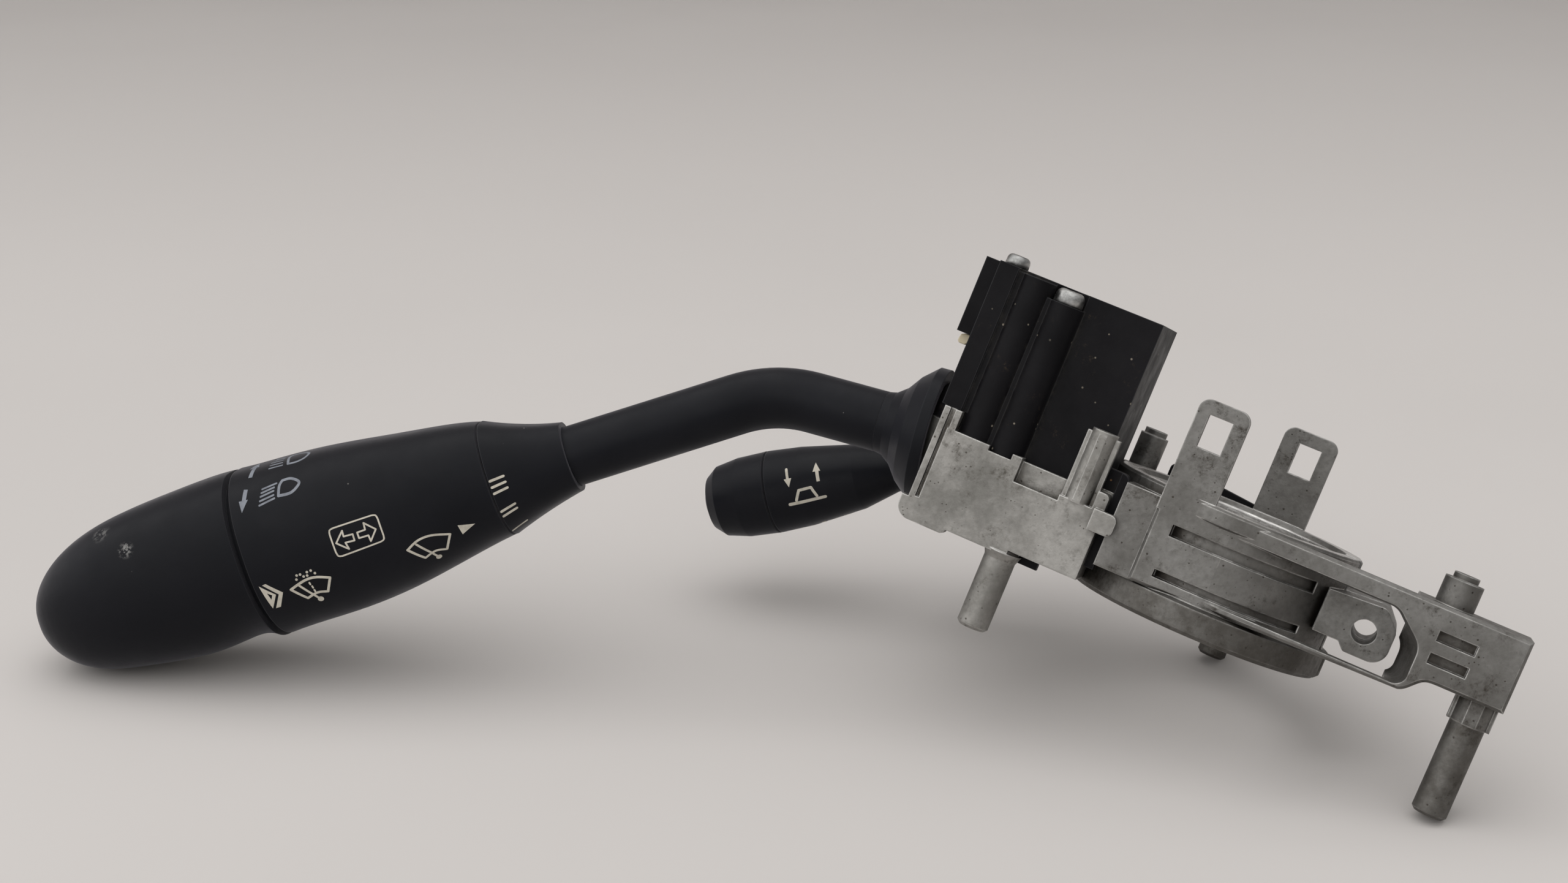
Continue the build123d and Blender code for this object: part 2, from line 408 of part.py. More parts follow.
def stalk_base():
    body = block(BASE_LEFT, BASE_RIGHT, BASE_FRONT + FRONT_WALL, BASE_BACK, 0, BASE_TOP)
    body += block(BASE_LEFT, BASE_RIGHT, BASE_FRONT, BASE_FRONT + FRONT_WALL, 0, BASE_FLOOR)
    body += dome(-DOME_R, BASE_TOP, BASE_LEFT + 1) + base_front()
    body -= block(BASE_LEFT + LEFT_WALL, BASE_RIGHT - RIGHT_WALL, BASE_FRONT + FRONT_WALL,
                  BASE_BACK - BACK_WALL, BASE_FLOOR, BASE_TOP + 1)
    body -= dome_inside() & left_of_pivot(BASE_FLOOR, BASE_TOP + 1)
    body += base_bosses() + base_post()
    body -= block(FOOT_STEP_X, BASE_RIGHT + 1, BASE_FRONT - 1, BASE_BACK + 1, -1, FOOT_STEP_H)
    body += rounded_pin(STALK_PIN_X, STALK_PIN_Y, 1, STALK_PIN_TIP, STALK_PIN_R)
    body += Pos(STALK_PIN_X, STALK_PIN_Y, -PIN_FLARE_H) * Cone(
        STALK_PIN_R, STALK_PIN_R + PIN_FLARE, PIN_FLARE_H + 0.5, align=ON_END)
    body -= post(PIVOT.X, PIVOT.Y, PIVOT.Z - YOKE_HALF_Z - TRUNNION_L - FACE_GAP, BASE_TOP,
                 TRUNNION_R + FIT_GAP) - post(PIVOT.X, PIVOT.Y, PIVOT.Z - YOKE_HALF_Z, BASE_TOP, DOME_R / 2)
    body -= post(0, 0, -1, BASE_TOP + 1, RING_R + SEAT_GAP)
    body -= post(0, 0, -1, FLANGE_H + 0.7, FLANGE_R + SEAT_GAP)
    half = LEG_W / 2 + SEAT_GAP
    body -= block(LEG_X - half, LEG_X + half, HOUSING_FRONT - SEAT_GAP, CHAMBER_FRONT + SEAT_GAP, -1,
                  BASE_FLOOR + 1)
    for x, y, seam, seat in housing_screw_places():
        body -= post(x, y, seam - SCREW_BITE - 0.5, seam + 1, SCREW_R + PRESS_GAP)
    for y, z in PAD_YZ:
        body -= bar(Vector(BASE_RIGHT - RIGHT_WALL - 1, y, z), Vector(1, 0, 0), 0, RIGHT_WALL + 2,
                    BASE_SCREW_R + PRESS_GAP)
    for z in SIDE_SCREW_Z:
        body -= bar(Vector(SIDE_SCREW_X, BASE_BACK + 1, z), Vector(0, -1, 0), 0, BACK_WALL + 2,
                    EAR_SCREW_R + PRESS_GAP)
    for x, bottom, top in COLUMNS:
        body -= post(x, COLUMN_Y, bottom - SEAT_GAP, top, COLUMN_R + SEAT_GAP)
    return body


def housing_blank():
    seat = BASE_TOP + SEAT_GAP
    body = block(HOUSING_LEFT, HOUSING_RIGHT, HOUSING_FRONT, HOUSING_BACK, seat, HOUSING_TOP)
    body -= block(CORNER_X, HOUSING_RIGHT + 1, CORNER_Y, HOUSING_BACK + 1, 0, HOUSING_TOP + 1)
    body += block(HOUSING_LEFT, HOUSING_LEFT + SLAB_W, SLAB_FRONT, HOUSING_FRONT + 1,
                  RIDGE_TOP + SEAT_GAP, HOUSING_TOP)
    for x, bottom, top in COLUMNS:
        body += post(x, COLUMN_Y, bottom, top, COLUMN_R)
    (first, low, high), (second, _, seat_top) = COLUMNS
    body += block(HOUSING_LEFT + SLAB_W, first, VALLEY_FRONT, HOUSING_FRONT, RIDGE_TOP + SEAT_GAP, high)
    body += block(first, second, VALLEY_FRONT, HOUSING_FRONT, low, seat_top)
    body += housing_shoulder()
    body -= block(HOUSING_LEFT - 1, RECESS_X, RECESS_FRONT, HOUSING_BACK + 1, 0, RECESS_TOP)
    body += dome(seat, HOUSING_TOP, RECESS_X + 1)
    skirt = block(CHAMBER_LEFT + 1.2, CHAMBER_RIGHT - SEAT_GAP, HOUSING_FRONT, CHAMBER_FRONT, SKIRT_BOTTOM,
                  seat + 1)
    skirt += block(LEG_X - LEG_W / 2, LEG_X + LEG_W / 2, HOUSING_FRONT, CHAMBER_FRONT, LEG_TIP, seat)
    for x, bottom, top in COLUMNS[1:]:
        skirt -= post(x, COLUMN_Y, -1, bottom, BASE_BOSS_R + SEAT_GAP)
    return body + skirt


def housing_shoulder():
    """Rounded ledge beside the base's post, with a tongue between base and carrier."""
    seat, right = BASE_TOP + SEAT_GAP, SIDE_LEFT - SEAT_GAP
    back = HOUSING_FRONT + SHOULDER_T
    ledge = block(HOUSING_RIGHT - 1, right, HOUSING_FRONT, back, seat, SHOULDER_TOP)
    ledge += block(BASE_RIGHT + SEAT_GAP, right, TONGUE_FRONT, back, seat, SHOULDER_TOP)
    corner = ledge.edges().filter_by(Axis.Y).sort_by_distance((right, HOUSING_FRONT, SHOULDER_TOP))[0]
    ledge = fillet(corner, SHOULDER_ROUND)
    return ledge + block(BASE_RIGHT + SEAT_GAP, right, TONGUE_FRONT, HOUSING_FRONT, TONGUE_TIP, seat)


def housing_columns():
    columns = Part()
    for x, y in BACK_COLUMNS:
        columns += post(x, y, BASE_TOP + SEAT_GAP, CHAMBER_TOP + 1, COLUMN_R)
    boss_bottom = PIVOT.Z + YOKE_HALF_Z + FACE_GAP
    return columns + post(PIVOT.X, PIVOT.Y, boss_bottom, CHAMBER_TOP + 1, BEARING_R)


def switch_housing():
    body = housing_blank()
    body -= block(CHAMBER_LEFT, CHAMBER_RIGHT, CHAMBER_FRONT, CORNER_Y - SIDE_WALL, SKIRT_BOTTOM - 1,
                  CHAMBER_TOP)
    body -= block(CHAMBER_LEFT, CORNER_X - SIDE_WALL, CHAMBER_FRONT, CHAMBER_BACK, SKIRT_BOTTOM - 1,
                  CHAMBER_TOP)
    body -= dome_inside() & left_of_pivot(0, CHAMBER_TOP + SIDE_WALL)
    body += housing_columns()
    trunnion_top = PIVOT.Z + YOKE_HALF_Z + TRUNNION_L + FACE_GAP
    body -= post(PIVOT.X, PIVOT.Y, PIVOT.Z + YOKE_HALF_Z, trunnion_top, TRUNNION_R + FIT_GAP)
    body -= block(HOUSING_LEFT - 1, SOCKET_RIGHT, SOCKET_FRONT, SOCKET_BACK, SOCKET_BOTTOM, SOCKET_TOP)
    for x, y, seam, seat in housing_screw_places():
        body -= post(x, y, seam - 2, seat + 1, SCREW_R + PRESS_GAP)
        body -= post(x, y, seat, HOUSING_TOP + 1, SCREW_HEAD_R + HEAD_ROOM)
    body -= post(ROOF_SCREW_X, ROOF_SCREW_Y, HOUSING_TOP - SCREW_BITE - 0.5, HOUSING_TOP + 1,
                 ROOF_SCREW_R + PRESS_GAP)
    return body


def base_screws():
    screws = Part()
    for y, z in PAD_YZ:
        start = Vector(BASE_RIGHT - RIGHT_WALL, y, z)
        screws += screw(start, Vector(1, 0, 0), BASE_SCREW_R, RIGHT_WALL + BASE_SCREW_BITE, BASE_HEAD_R,
                        BASE_HEAD_H)
    return screws


def housing_screws():
    screws = Part()
    for x, y, seam, seat in housing_screw_places():
        screws += screw(Vector(x, y, seat), Vector(0, 0, -1), SCREW_R, seat - seam + SCREW_BITE,
                        SCREW_HEAD_R, SCREW_HEAD_H)
    return screws


def roof_screw():
    return screw(Vector(ROOF_SCREW_X, ROOF_SCREW_Y, HOUSING_TOP), Vector(0, 0, -1), ROOF_SCREW_R,
                 SCREW_BITE, ROOF_HEAD_R, ROOF_HEAD_H)


# ---- connector ----

def pin_places():
    middle = (SOCKET_FRONT + SOCKET_BACK) / 2
    level = BOARD_Z + BOARD_T + SEAT_GAP
    return [(middle + (i - (PIN_COUNT - 1) / 2) * PIN_PITCH, level) for i in range(PIN_COUNT)]


def connector_pins():
    pins = Part()
    for y, z in pin_places():
        pins += block(HOUSING_LEFT - PIN_OUT, HOUSING_LEFT + PIN_IN, y - PIN_W / 2, y + PIN_W / 2, z,
                      z + PIN_T)
    return pins


def connector_shroud():
    top = HOUSING_TOP - SEAT_GAP
    body = block(SHROUD_LEFT, HOUSING_LEFT - SEAT_GAP, SHROUD_FRONT, SHROUD_REAR, SHROUD_BOTTOM, top)
    body -= block(SHROUD_LEFT - 1, HOUSING_LEFT - SHROUD_BACK_T, SHROUD_FRONT + SHROUD_WALL,
                  SHROUD_REAR - SHROUD_WALL, SHROUD_BOTTOM + SHROUD_WALL, top - SHROUD_WALL)
    body += block(HOUSING_LEFT - SHROUD_BACK_T, HOUSING_LEFT + PLUG_DEEP, SOCKET_FRONT + SEAT_GAP,
                  SOCKET_BACK - SEAT_GAP, SOCKET_BOTTOM + SEAT_GAP, SOCKET_TOP - SEAT_GAP)
    body -= block(SHROUD_LEFT, HOUSING_LEFT + MOUTH_DEEP, SOCKET_FRONT + MOUTH_MARGIN,
                  SOCKET_BACK - MOUTH_MARGIN, SOCKET_BOTTOM + MOUTH_MARGIN, SOCKET_TOP - MOUTH_MARGIN)
    for y, z in pin_places():
        half = PIN_W / 2 + PRESS_GAP
        body -= block(SHROUD_LEFT, HOUSING_LEFT + PLUG_DEEP + 1, y - half, y + half, z - PRESS_GAP,
                      z + PIN_T + PRESS_GAP)
    return body


def connector_latch():
    top = SHROUD_BOTTOM - SEAT_GAP
    latch = block(LATCH_LEFT, HOUSING_LEFT - SEAT_GAP, LATCH_FRONT, LATCH_BACK, top - LATCH_T, top)
    lip = block(LATCH_LEFT, LATCH_LEFT + 1.2, LATCH_FRONT, LATCH_BACK, top - LATCH_T - 0.9, top)
    return latch + lip


def circuit_board():
    left = HOUSING_LEFT + PLUG_DEEP + SEAT_GAP
    board = block(left, SOCKET_RIGHT - SEAT_GAP, SOCKET_FRONT + SEAT_GAP, SOCKET_BACK - SEAT_GAP,
                  BOARD_Z, BOARD_Z + BOARD_T)
    for outline in BOARD_PARTS:
        board += block(*outline, BOARD_Z + BOARD_T, BOARD_Z + BOARD_T + BOARD_PART_H)
    return board


# ---- turn and dip mechanism ----

def about(point, x0, x1, y0, y1, z0, z1):
    return Pos(*point) * block(x0, x1, y0, y1, z0, z1)


def yoke(point, front, back, half_y, half_z, wall, plate, trunnion_r, trunnion_l, pin_r):
    body = about(point, -front, back, -half_y, half_y, -half_z, half_z)
    body -= about(point, -front - 1, back + 1, wall - half_y, half_y - wall, plate - half_z, half_z - plate)
    body += post(point.X, point.Y, point.Z + half_z - 1, point.Z + half_z + trunnion_l, trunnion_r)
    body += post(point.X, point.Y, point.Z - half_z + 1, point.Z - half_z - trunnion_l, trunnion_r)
    return body - bar(point, Vector(0, 1, 0), -half_y - 1, half_y + 1, pin_r + PRESS_GAP)


def turn_block():
    body = yoke(PIVOT, YOKE_FRONT, YOKE_BACK, YOKE_HALF_Y, YOKE_HALF_Z, YOKE_WALL, YOKE_PLATE,
                TRUNNION_R, TRUNNION_L, BEAM_PIN_R)
    return body + about(PIVOT, YOKE_BACK - 1, WING_REACH, -WING_HALF, WING_HALF, YOKE_HALF_Z - YOKE_PLATE,
                        YOKE_HALF_Z)


def beam_pin():
    return bar(PIVOT, Vector(0, 1, 0), -YOKE_HALF_Y, YOKE_HALF_Y, BEAM_PIN_R)


def contact_slider():
    return about(PIVOT, YOKE_BACK - 0.5, WING_REACH, -WING_HALF, WING_HALF, YOKE_HALF_Z,
                 YOKE_HALF_Z + SLIDER_T)


def contact_plate():
    right, back = CORNER_X - SIDE_WALL - FACE_GAP, BACK_COLUMNS[0][1] - COLUMN_R - FACE_GAP
    plate = block(PLATE_LEFT, right, CHAMBER_FRONT + 1, back, CHAMBER_TOP - SEAT_GAP - PLATE_T,
                  CHAMBER_TOP - SEAT_GAP)
    return plate - post(PIVOT.X, PIVOT.Y, 0, CHAMBER_TOP, BEARING_R + FACE_GAP)


def lever_root():
    hub_half = YOKE_HALF_Y - YOKE_WALL - FACE_GAP
    body = bar(PIVOT, Vector(0, 1, 0), -hub_half, hub_half, HUB_R)
    body += bar(PIVOT, STEM_AXIS, 0, STEM_L, STEM_R) + bar(PIVOT, -STEM_AXIS, 0, TAIL_L, TAIL_R)
    body -= bar(PIVOT, -STEM_AXIS, TAIL_L - TAIL_BORE, TAIL_L + 1, PLUNGER_R + FIT_GAP)
    return body - bar(PIVOT, Vector(0, 1, 0), -hub_half - 1, hub_half + 1, BEAM_PIN_R + FIT_GAP)


def detent_plunger():
    plunger = bar(PIVOT, -STEM_AXIS, PLUNGER_REACH - PLUNGER_L, PLUNGER_REACH, PLUNGER_R)
    return fillet(plunger.faces().sort_by(Axis(PIVOT, -STEM_AXIS))[-1].edges(), 0.9 * PLUNGER_R)


def detent_track():
    centre = PIVOT - STEM_AXIS * DETENT_R
    body = block(centre.X - DETENT_T, CHAMBER_RIGHT - SEAT_GAP, centre.Y - DETENT_W / 2,
                 centre.Y + DETENT_W / 2, centre.Z - DETENT_H / 2, centre.Z + DETENT_H / 2)
    body -= Pos(*PIVOT) * Sphere(DETENT_R)
    for step in (-1, 0, 1):
        angle = (TURN_REST + step * DETENT_STEP) * pi / 180
        across = Plane(origin=PIVOT, z_dir=(-sin(angle), cos(angle), 0))
        body -= across * Torus(DETENT_R, DETENT_NOTCH_R)
    return body


# ---- big lever ----

def boot_bell():
    body = turned(PIVOT, STEM_AXIS, BOOT_OUTER)
    body -= Pos(*PIVOT) * Sphere(DOME_R + BOOT_GAP)
    return body - bar(PIVOT, STEM_AXIS, BOOT_RIM_S - 1, BOOT_OUTER[-1][0] + 1, STEM_R + PRESS_GAP)


def neck_solid(radius):
    start = PIVOT + STEM_AXIS * BOOT_OUTER[-1][0]
    path = FilletPolyline(start, NECK_CORNER, COLLAR_START, COLLAR_START + HANDLE_AXIS * 1.6 * NECK_BEND_R,
                          radius=NECK_BEND_R)
    tube = sweep(Plane(origin=start, z_dir=path % 0) * Circle(radius), path=path)
    return tube - bar(COLLAR_START, HANDLE_AXIS, NECK_END, 2 * NECK_BEND_R, 4 * NECK_R)


def neck_tube():
    body = neck_solid(NECK_R) - bar(PIVOT, STEM_AXIS, 0, STEM_L + 0.5, STEM_R + PRESS_GAP)
    return body - bar(COLLAR_START, HANDLE_AXIS, ROD_START - 0.5, ROD_END, ROD_R + PRESS_GAP)


def section(station, inset=0.0, s=None):
    """Closed oval of the handle at one station, drawn inset from the outside."""
    distance, upper, lower, half = station
    plane = Plane(origin=COLLAR_START + HANDLE_AXIS * (distance if s is None else s),
                  x_dir=HANDLE_UP, z_dir=HANDLE_AXIS)
    middle, height, width = (upper + lower) / 2, (upper - lower) / 2 - inset, half - inset
    points = []
    for i in range(SECTION_POINTS):
        c, d = cos(2 * pi * i / SECTION_POINTS), sin(2 * pi * i / SECTION_POINTS)
        power = 2 / SECTION_POWER
        points.append((middle + height * abs(c) ** power * (1 if c >= 0 else -1),
                       width * abs(d) ** power * (1 if d >= 0 else -1)))
    return plane * make_face(Spline(*points, periodic=True))


def on_handle(s0, s1, radius):
    return bar(COLLAR_START, HANDLE_AXIS, s0, s1, radius)


def collar():
    body = loft([section(station) for station in COLLAR_STATIONS])
    return body - neck_solid(NECK_R + PRESS_GAP) - on_handle(ROD_START, ROD_END, ROD_R + PRESS_GAP)


def handle_rod():
    rod = on_handle(ROD_START, ROD_END, ROD_R)
    return rod - (on_handle(CLIP_START, CLIP_START + CLIP_T, ROD_R + 1)
                  - on_handle(CLIP_START, CLIP_START + CLIP_T, CLIP_BORE - 0.05))


def rod_clip():
    return on_handle(CLIP_START, CLIP_START + CLIP_T, CLIP_R) - on_handle(
        CLIP_START - 1, CLIP_START + CLIP_T + 1, CLIP_BORE)


def click_ring():
    ring = on_handle(CLICK_START, CLICK_START + CLICK_T, CLICK_R) - on_handle(
        CLICK_START - 1, CLICK_START + CLICK_T + 1, ROD_R + PRESS_GAP)
    plane = Plane(origin=COLLAR_START + HANDLE_AXIS * (CLICK_START - 1), x_dir=HANDLE_UP, z_dir=HANDLE_AXIS)
    for place in PolarLocations(CLICK_R + 0.3, CLICKS):
        ring -= plane * place * Cylinder(CLICK_NOTCH_R, CLICK_T + 2, align=ON_END)
    return ring


def handle_shell():
    body = loft([section(station) for station in HANDLE_STATIONS])
    body -= on_handle(CAVITY_START, POCKET_START + 1, CAVITY_R)
    mouth = extrude(section(HANDLE_STATIONS[-1], MOUTH_WALL, POCKET_START),
                    HANDLE_STATIONS[-1][0] - POCKET_START + 1, dir=HANDLE_AXIS)
    body -= mouth & on_handle(POCKET_START, HANDLE_STATIONS[-1][0] + 1, 2 * HANDLE_STATIONS[-1][1])
    body -= on_handle(0, CAVITY_START + 1, ROD_R + FIT_GAP)
    plane = Plane(origin=COLLAR_START + HANDLE_AXIS * CLICK_START, x_dir=HANDLE_UP, z_dir=HANDLE_AXIS)
    nib = Pos((CAVITY_R + CLICK_R + FACE_GAP) / 2 + 0.2, 0, CLICK_T / 2)
    nib *= Box(CAVITY_R - CLICK_R - FACE_GAP + 0.4, NIB_W, CLICK_T)
    return body + plane * nib


def handle_hub():
    start, end = HUB_DISC_START, HUB_DISC_START + HUB_DISC_T
    return on_handle(start, end, CAVITY_R - PRESS_GAP) - on_handle(start - 1, end + 1, ROD_R + FIT_GAP)


def wash_switch():
    body = on_handle(WASH_START, WASH_END - 2, WASH_R) + on_handle(WASH_END - 3, WASH_END, WASH_R - 2.5)
    return body - on_handle(WASH_BORE_START, WASH_END + 1, WASH_BORE_R)


def end_cap():
    body = loft([section(station) for station in CAP_STATIONS])
    spigot = section(HANDLE_STATIONS[-1], MOUTH_WALL + FACE_GAP, SPIGOT_START)
    body += extrude(spigot, CAP_STATIONS[0][0] - SPIGOT_START + 0.5, dir=HANDLE_AXIS)
    return body - on_handle(SPIGOT_START - 1, CAP_CAVITY_END, CAP_CAVITY_R)


def wash_plunger():
    return on_handle(WASH_PIN_TIP, CAP_CAVITY_END - 1, WASH_PIN_R) + on_handle(
        CAP_CAVITY_END - WASH_FLANGE_T, CAP_CAVITY_END, WASH_FLANGE_R)


# ---- small adjusting lever ----

def rear_switch_housing():
    body = block(REAR_LEFT, REAR_RIGHT, REAR_FRONT, REAR_BACK, REAR_BOTTOM, REAR_TOP)
    floor = REAR_BOTTOM + REAR_FLOOR
    body -= block(REAR_CHAMBER_LEFT, REAR_CHAMBER_RIGHT, REAR_FRONT + REAR_WALL, REAR_BACK - REAR_WALL,
                  floor, REAR_TOP + 1)
    body -= block(REAR_LEFT - 1, REAR_CHAMBER_LEFT + 1, ADJUST_PIVOT.Y - REAR_MOUTH_HALF_Y,
                  ADJUST_PIVOT.Y + REAR_MOUTH_HALF_Y, REAR_MOUTH_BOTTOM, REAR_MOUTH_TOP)
    bearing_top = ADJUST_PIVOT.Z - AYOKE_HALF_Z - FACE_GAP
    body += post(ADJUST_PIVOT.X, ADJUST_PIVOT.Y, REAR_BOTTOM, bearing_top, ABEARING_R)
    body -= post(ADJUST_PIVOT.X, ADJUST_PIVOT.Y, bearing_top - ATRUNNION_L - 0.1, bearing_top + 1,
                 ATRUNNION_R + FIT_GAP)
    body += block(REAR_RIGHT - 1, EAR_RIGHT, REAR_FRONT, REAR_FRONT + EAR_T, REAR_BOTTOM + 1, EAR_TOP)
    for z in SIDE_SCREW_Z:
        body -= bar(Vector(SIDE_SCREW_X, REAR_FRONT - 1, z), Vector(0, 1, 0), 0, EAR_T + 2,
                    EAR_SCREW_R + PRESS_GAP)
    for x, y in COVER_SCREWS:
        body -= post(x, y, REAR_TOP - EAR_BITE - 0.5, REAR_TOP + 1, EAR_SCREW_R + PRESS_GAP)
    return body


def rear_cover():
    bottom = REAR_TOP + SEAT_GAP
    cover = block(REAR_LEFT, REAR_RIGHT, REAR_FRONT, REAR_BACK, bottom, bottom + REAR_COVER_T)
    cover = chamfer(cover.faces().sort_by(Axis.Z)[-1].edges(), 0.8)
    cover -= post(ADJUST_PIVOT.X, ADJUST_PIVOT.Y, bottom - 1,
                  ADJUST_PIVOT.Z + AYOKE_HALF_Z + ATRUNNION_L + FACE_GAP, ATRUNNION_R + FIT_GAP)
    for x, y in COVER_SCREWS:
        cover -= post(x, y, bottom - 1, bottom + REAR_COVER_T + 1, EAR_SCREW_R + PRESS_GAP)
        cover -= post(x, y, bottom + EAR_T, bottom + REAR_COVER_T + 1, EAR_HEAD_R + HEAD_ROOM)
    return cover


def rear_screws():
    screws, length = Part(), EAR_T + EAR_BITE
    for z in SIDE_SCREW_Z:
        screws += screw(Vector(SIDE_SCREW_X, REAR_FRONT + EAR_T, z), Vector(0, -1, 0), EAR_SCREW_R,
                        length, EAR_HEAD_R, EAR_HEAD_H)
    for x, y in COVER_SCREWS:
        screws += screw(Vector(x, y, REAR_TOP + SEAT_GAP + EAR_T), Vector(0, 0, -1), EAR_SCREW_R,
                        length, EAR_HEAD_R, EAR_HEAD_H)
    return screws


def adjust_block():
    return yoke(ADJUST_PIVOT, AYOKE_FRONT, AYOKE_BACK, AYOKE_HALF_Y, AYOKE_HALF_Z, AYOKE_WALL,
                AYOKE_PLATE, ATRUNNION_R, ATRUNNION_L, APIN_R)


def adjust_pin():
    return bar(ADJUST_PIVOT, Vector(0, 1, 0), -AYOKE_HALF_Y, AYOKE_HALF_Y, APIN_R)


def adjust_root():
    hub_half = AYOKE_HALF_Y - AYOKE_WALL - FACE_GAP
    body = bar(ADJUST_PIVOT, Vector(0, 1, 0), -hub_half, hub_half, AHUB_R)
    body += bar(ADJUST_PIVOT, ADJUST_AXIS, 0, ASTEM_L, ASTEM_R)
    return body - bar(ADJUST_PIVOT, Vector(0, 1, 0), -hub_half - 1, hub_half + 1, APIN_R + FIT_GAP)


def adjust_body():
    body = turned(ADJUST_PIVOT, ADJUST_AXIS, ABODY)
    body += bar(ADJUST_PIVOT, ADJUST_AXIS, ABODY[-1][0] - 1, SPINDLE_END, SPINDLE_R)
    return body - bar(ADJUST_PIVOT, ADJUST_AXIS, 0, ASTEM_L + 0.3, ASTEM_R + PRESS_GAP)


def adjust_knob():
    knob = turned(ADJUST_PIVOT, ADJUST_AXIS, KNOB)
    return knob - bar(ADJUST_PIVOT, ADJUST_AXIS, 0, KNOB_BORE_END, SPINDLE_R + FIT_GAP)


def harness_guide():
    outline = make_face(Polyline((GUIDE_LEFT, GUIDE_BOTTOM), (GUIDE_RIGHT, GUIDE_BOTTOM),
                                 (GUIDE_RIGHT, GUIDE_TOP_RIGHT), (GUIDE_LEFT, GUIDE_TOP_LEFT), close=True))
    strip = front_slab(fillet(outline.vertices(), GUIDE_ROUND), GUIDE_FRONT, GUIDE_FRONT + GUIDE_T)
    for x in GUIDE_LEGS:
        strip += block(x, x + GUIDE_LEG_W, GUIDE_LEG_FRONT, GUIDE_FRONT + 0.5, GUIDE_BOTTOM,
                       GUIDE_BOTTOM + GUIDE_LEG_H)
    return strip - post(0, 0, 0, GUIDE_TOP_LEFT, RING_R + SEAT_GAP)


PIECES = {
    "column_carrier": column_carrier, "stalk_base": stalk_base, "base_screws": base_screws,
    "switch_housing": switch_housing, "housing_screws": housing_screws, "roof_screw": roof_screw,
    "connector_shroud": connector_shroud, "connector_pins": connector_pins,
    "connector_latch": connector_latch, "circuit_board": circuit_board,
    "contact_plate": contact_plate, "detent_track": detent_track, "harness_guide": harness_guide,
    "rear_switch_housing": rear_switch_housing, "rear_cover": rear_cover, "rear_screws": rear_screws,
    "turn_block": turn_block, "beam_pin": beam_pin, "contact_slider": contact_slider,
    "lever_root": lever_root, "detent_plunger": detent_plunger, "boot_bell": boot_bell,
    "neck_tube": neck_tube, "collar": collar, "handle_rod": handle_rod, "rod_clip": rod_clip,
    "click_ring": click_ring, "handle_shell": handle_shell, "handle_hub": handle_hub,
    "wash_switch": wash_switch, "end_cap": end_cap, "wash_plunger": wash_plunger,
    "adjust_block": adjust_block, "adjust_pin": adjust_pin, "adjust_root": adjust_root,
    "adjust_body": adjust_body, "adjust_knob": adjust_knob,
}


def rest(shape):
    return Pos(*REST_SHIFT) * Rotation(*LEAN) * shape


os.makedirs("parts", exist_ok=True)
for name, build in PIECES.items():
    export_step(rest(build()), f"parts/{name}.step")
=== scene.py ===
from math import ceil, cos, hypot, pi, radians, sin

import bpy
from mathutils import Matrix, Vector
from mathutils.bvhtree import BVHTree
from mathutils.geometry import delaunay_2d_cdt


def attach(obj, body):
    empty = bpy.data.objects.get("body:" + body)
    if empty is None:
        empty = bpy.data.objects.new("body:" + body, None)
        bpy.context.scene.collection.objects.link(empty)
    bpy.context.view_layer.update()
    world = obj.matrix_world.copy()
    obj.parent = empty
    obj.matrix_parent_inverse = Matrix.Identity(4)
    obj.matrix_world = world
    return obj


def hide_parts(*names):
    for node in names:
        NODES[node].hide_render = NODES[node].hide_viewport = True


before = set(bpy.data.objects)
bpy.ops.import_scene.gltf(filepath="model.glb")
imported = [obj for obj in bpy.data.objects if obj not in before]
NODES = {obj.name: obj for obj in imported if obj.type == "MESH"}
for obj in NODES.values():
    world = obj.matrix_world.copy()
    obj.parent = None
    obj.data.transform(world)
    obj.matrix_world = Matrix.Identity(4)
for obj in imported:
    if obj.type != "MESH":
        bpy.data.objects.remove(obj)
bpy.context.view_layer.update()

MM = 0.001

# The column frame of the CAD source, in mm, tipped over to its rest on the bench
LEAN = (-13.89, 21.57, -17.24)
REST_SHIFT = Vector((89.04, -15.01, 21.23))
TILT = (Matrix.Rotation(radians(LEAN[0]), 3, "X") @ Matrix.Rotation(radians(LEAN[1]), 3, "Y")
        @ Matrix.Rotation(radians(LEAN[2]), 3, "Z"))
UNTILT = TILT.transposed()

# Sizes and places of the CAD source that marks and finishes are set out from, in mm
RING_H, BORE_R, RING_R = 24.5, 20.5, 24.5
HANDLE_R, COLLAR_R, LEVER_R = 16.0, 11.0, 8.5
COLLAR_START = Vector((-126.2, -20.0, -17.2))
HANDLE_AXIS = Vector((-0.7448, -0.1641, -0.6468)).normalized()
HANDLE_UP = Vector((-0.6363, -0.1171, 0.7625))
ADJUST_PIVOT = Vector((-52.0, 32.0, 15.7))
ADJUST_AXIS = Vector((-0.8405, 0.0, -0.5418)).normalized()
UP = Vector((0, 0, 1))
DOWN = Vector((0, 0, -1))


def place(p):
    """A point of the column frame, in mm, as a point of the row frame, in metres."""
    return (TILT @ Vector(p) + REST_SHIFT) * MM


# ---- camera, floor and light, in metres ----

SENSOR_W, LENS = 36.0, 50.625  # both in mm
CLIP_NEAR, CLIP_FAR = 0.01, 20.0
CAMERA_AT = (0.00733, -0.41123, 0.20351)
CAMERA_TURN = (69.973, -0.354, -0.003)  # degrees

BENCH_HALF_W, BENCH_NEAR, BENCH_FAR = 2.5, -1.5, 1.1
BEND_R, BEND_STEPS, BACKDROP_TOP = 0.5, 12, 2.5

LIGHT_AIM = Vector((0, 0, 0.03))
LIGHT_COLOUR = (1.0, 0.99, 0.98)
ROOM_COLOUR = (1.0, 0.992, 0.985, 1.0)
ROOM_WAY = Vector((-0.42, -0.1, 0.9)).normalized()
ROOM_FADE = {"From Min": -0.3, "From Max": 0.95, "To Min": 0.2, "To Max": 1.4}

scene = bpy.context.scene
scene.view_settings.view_transform = "Standard"

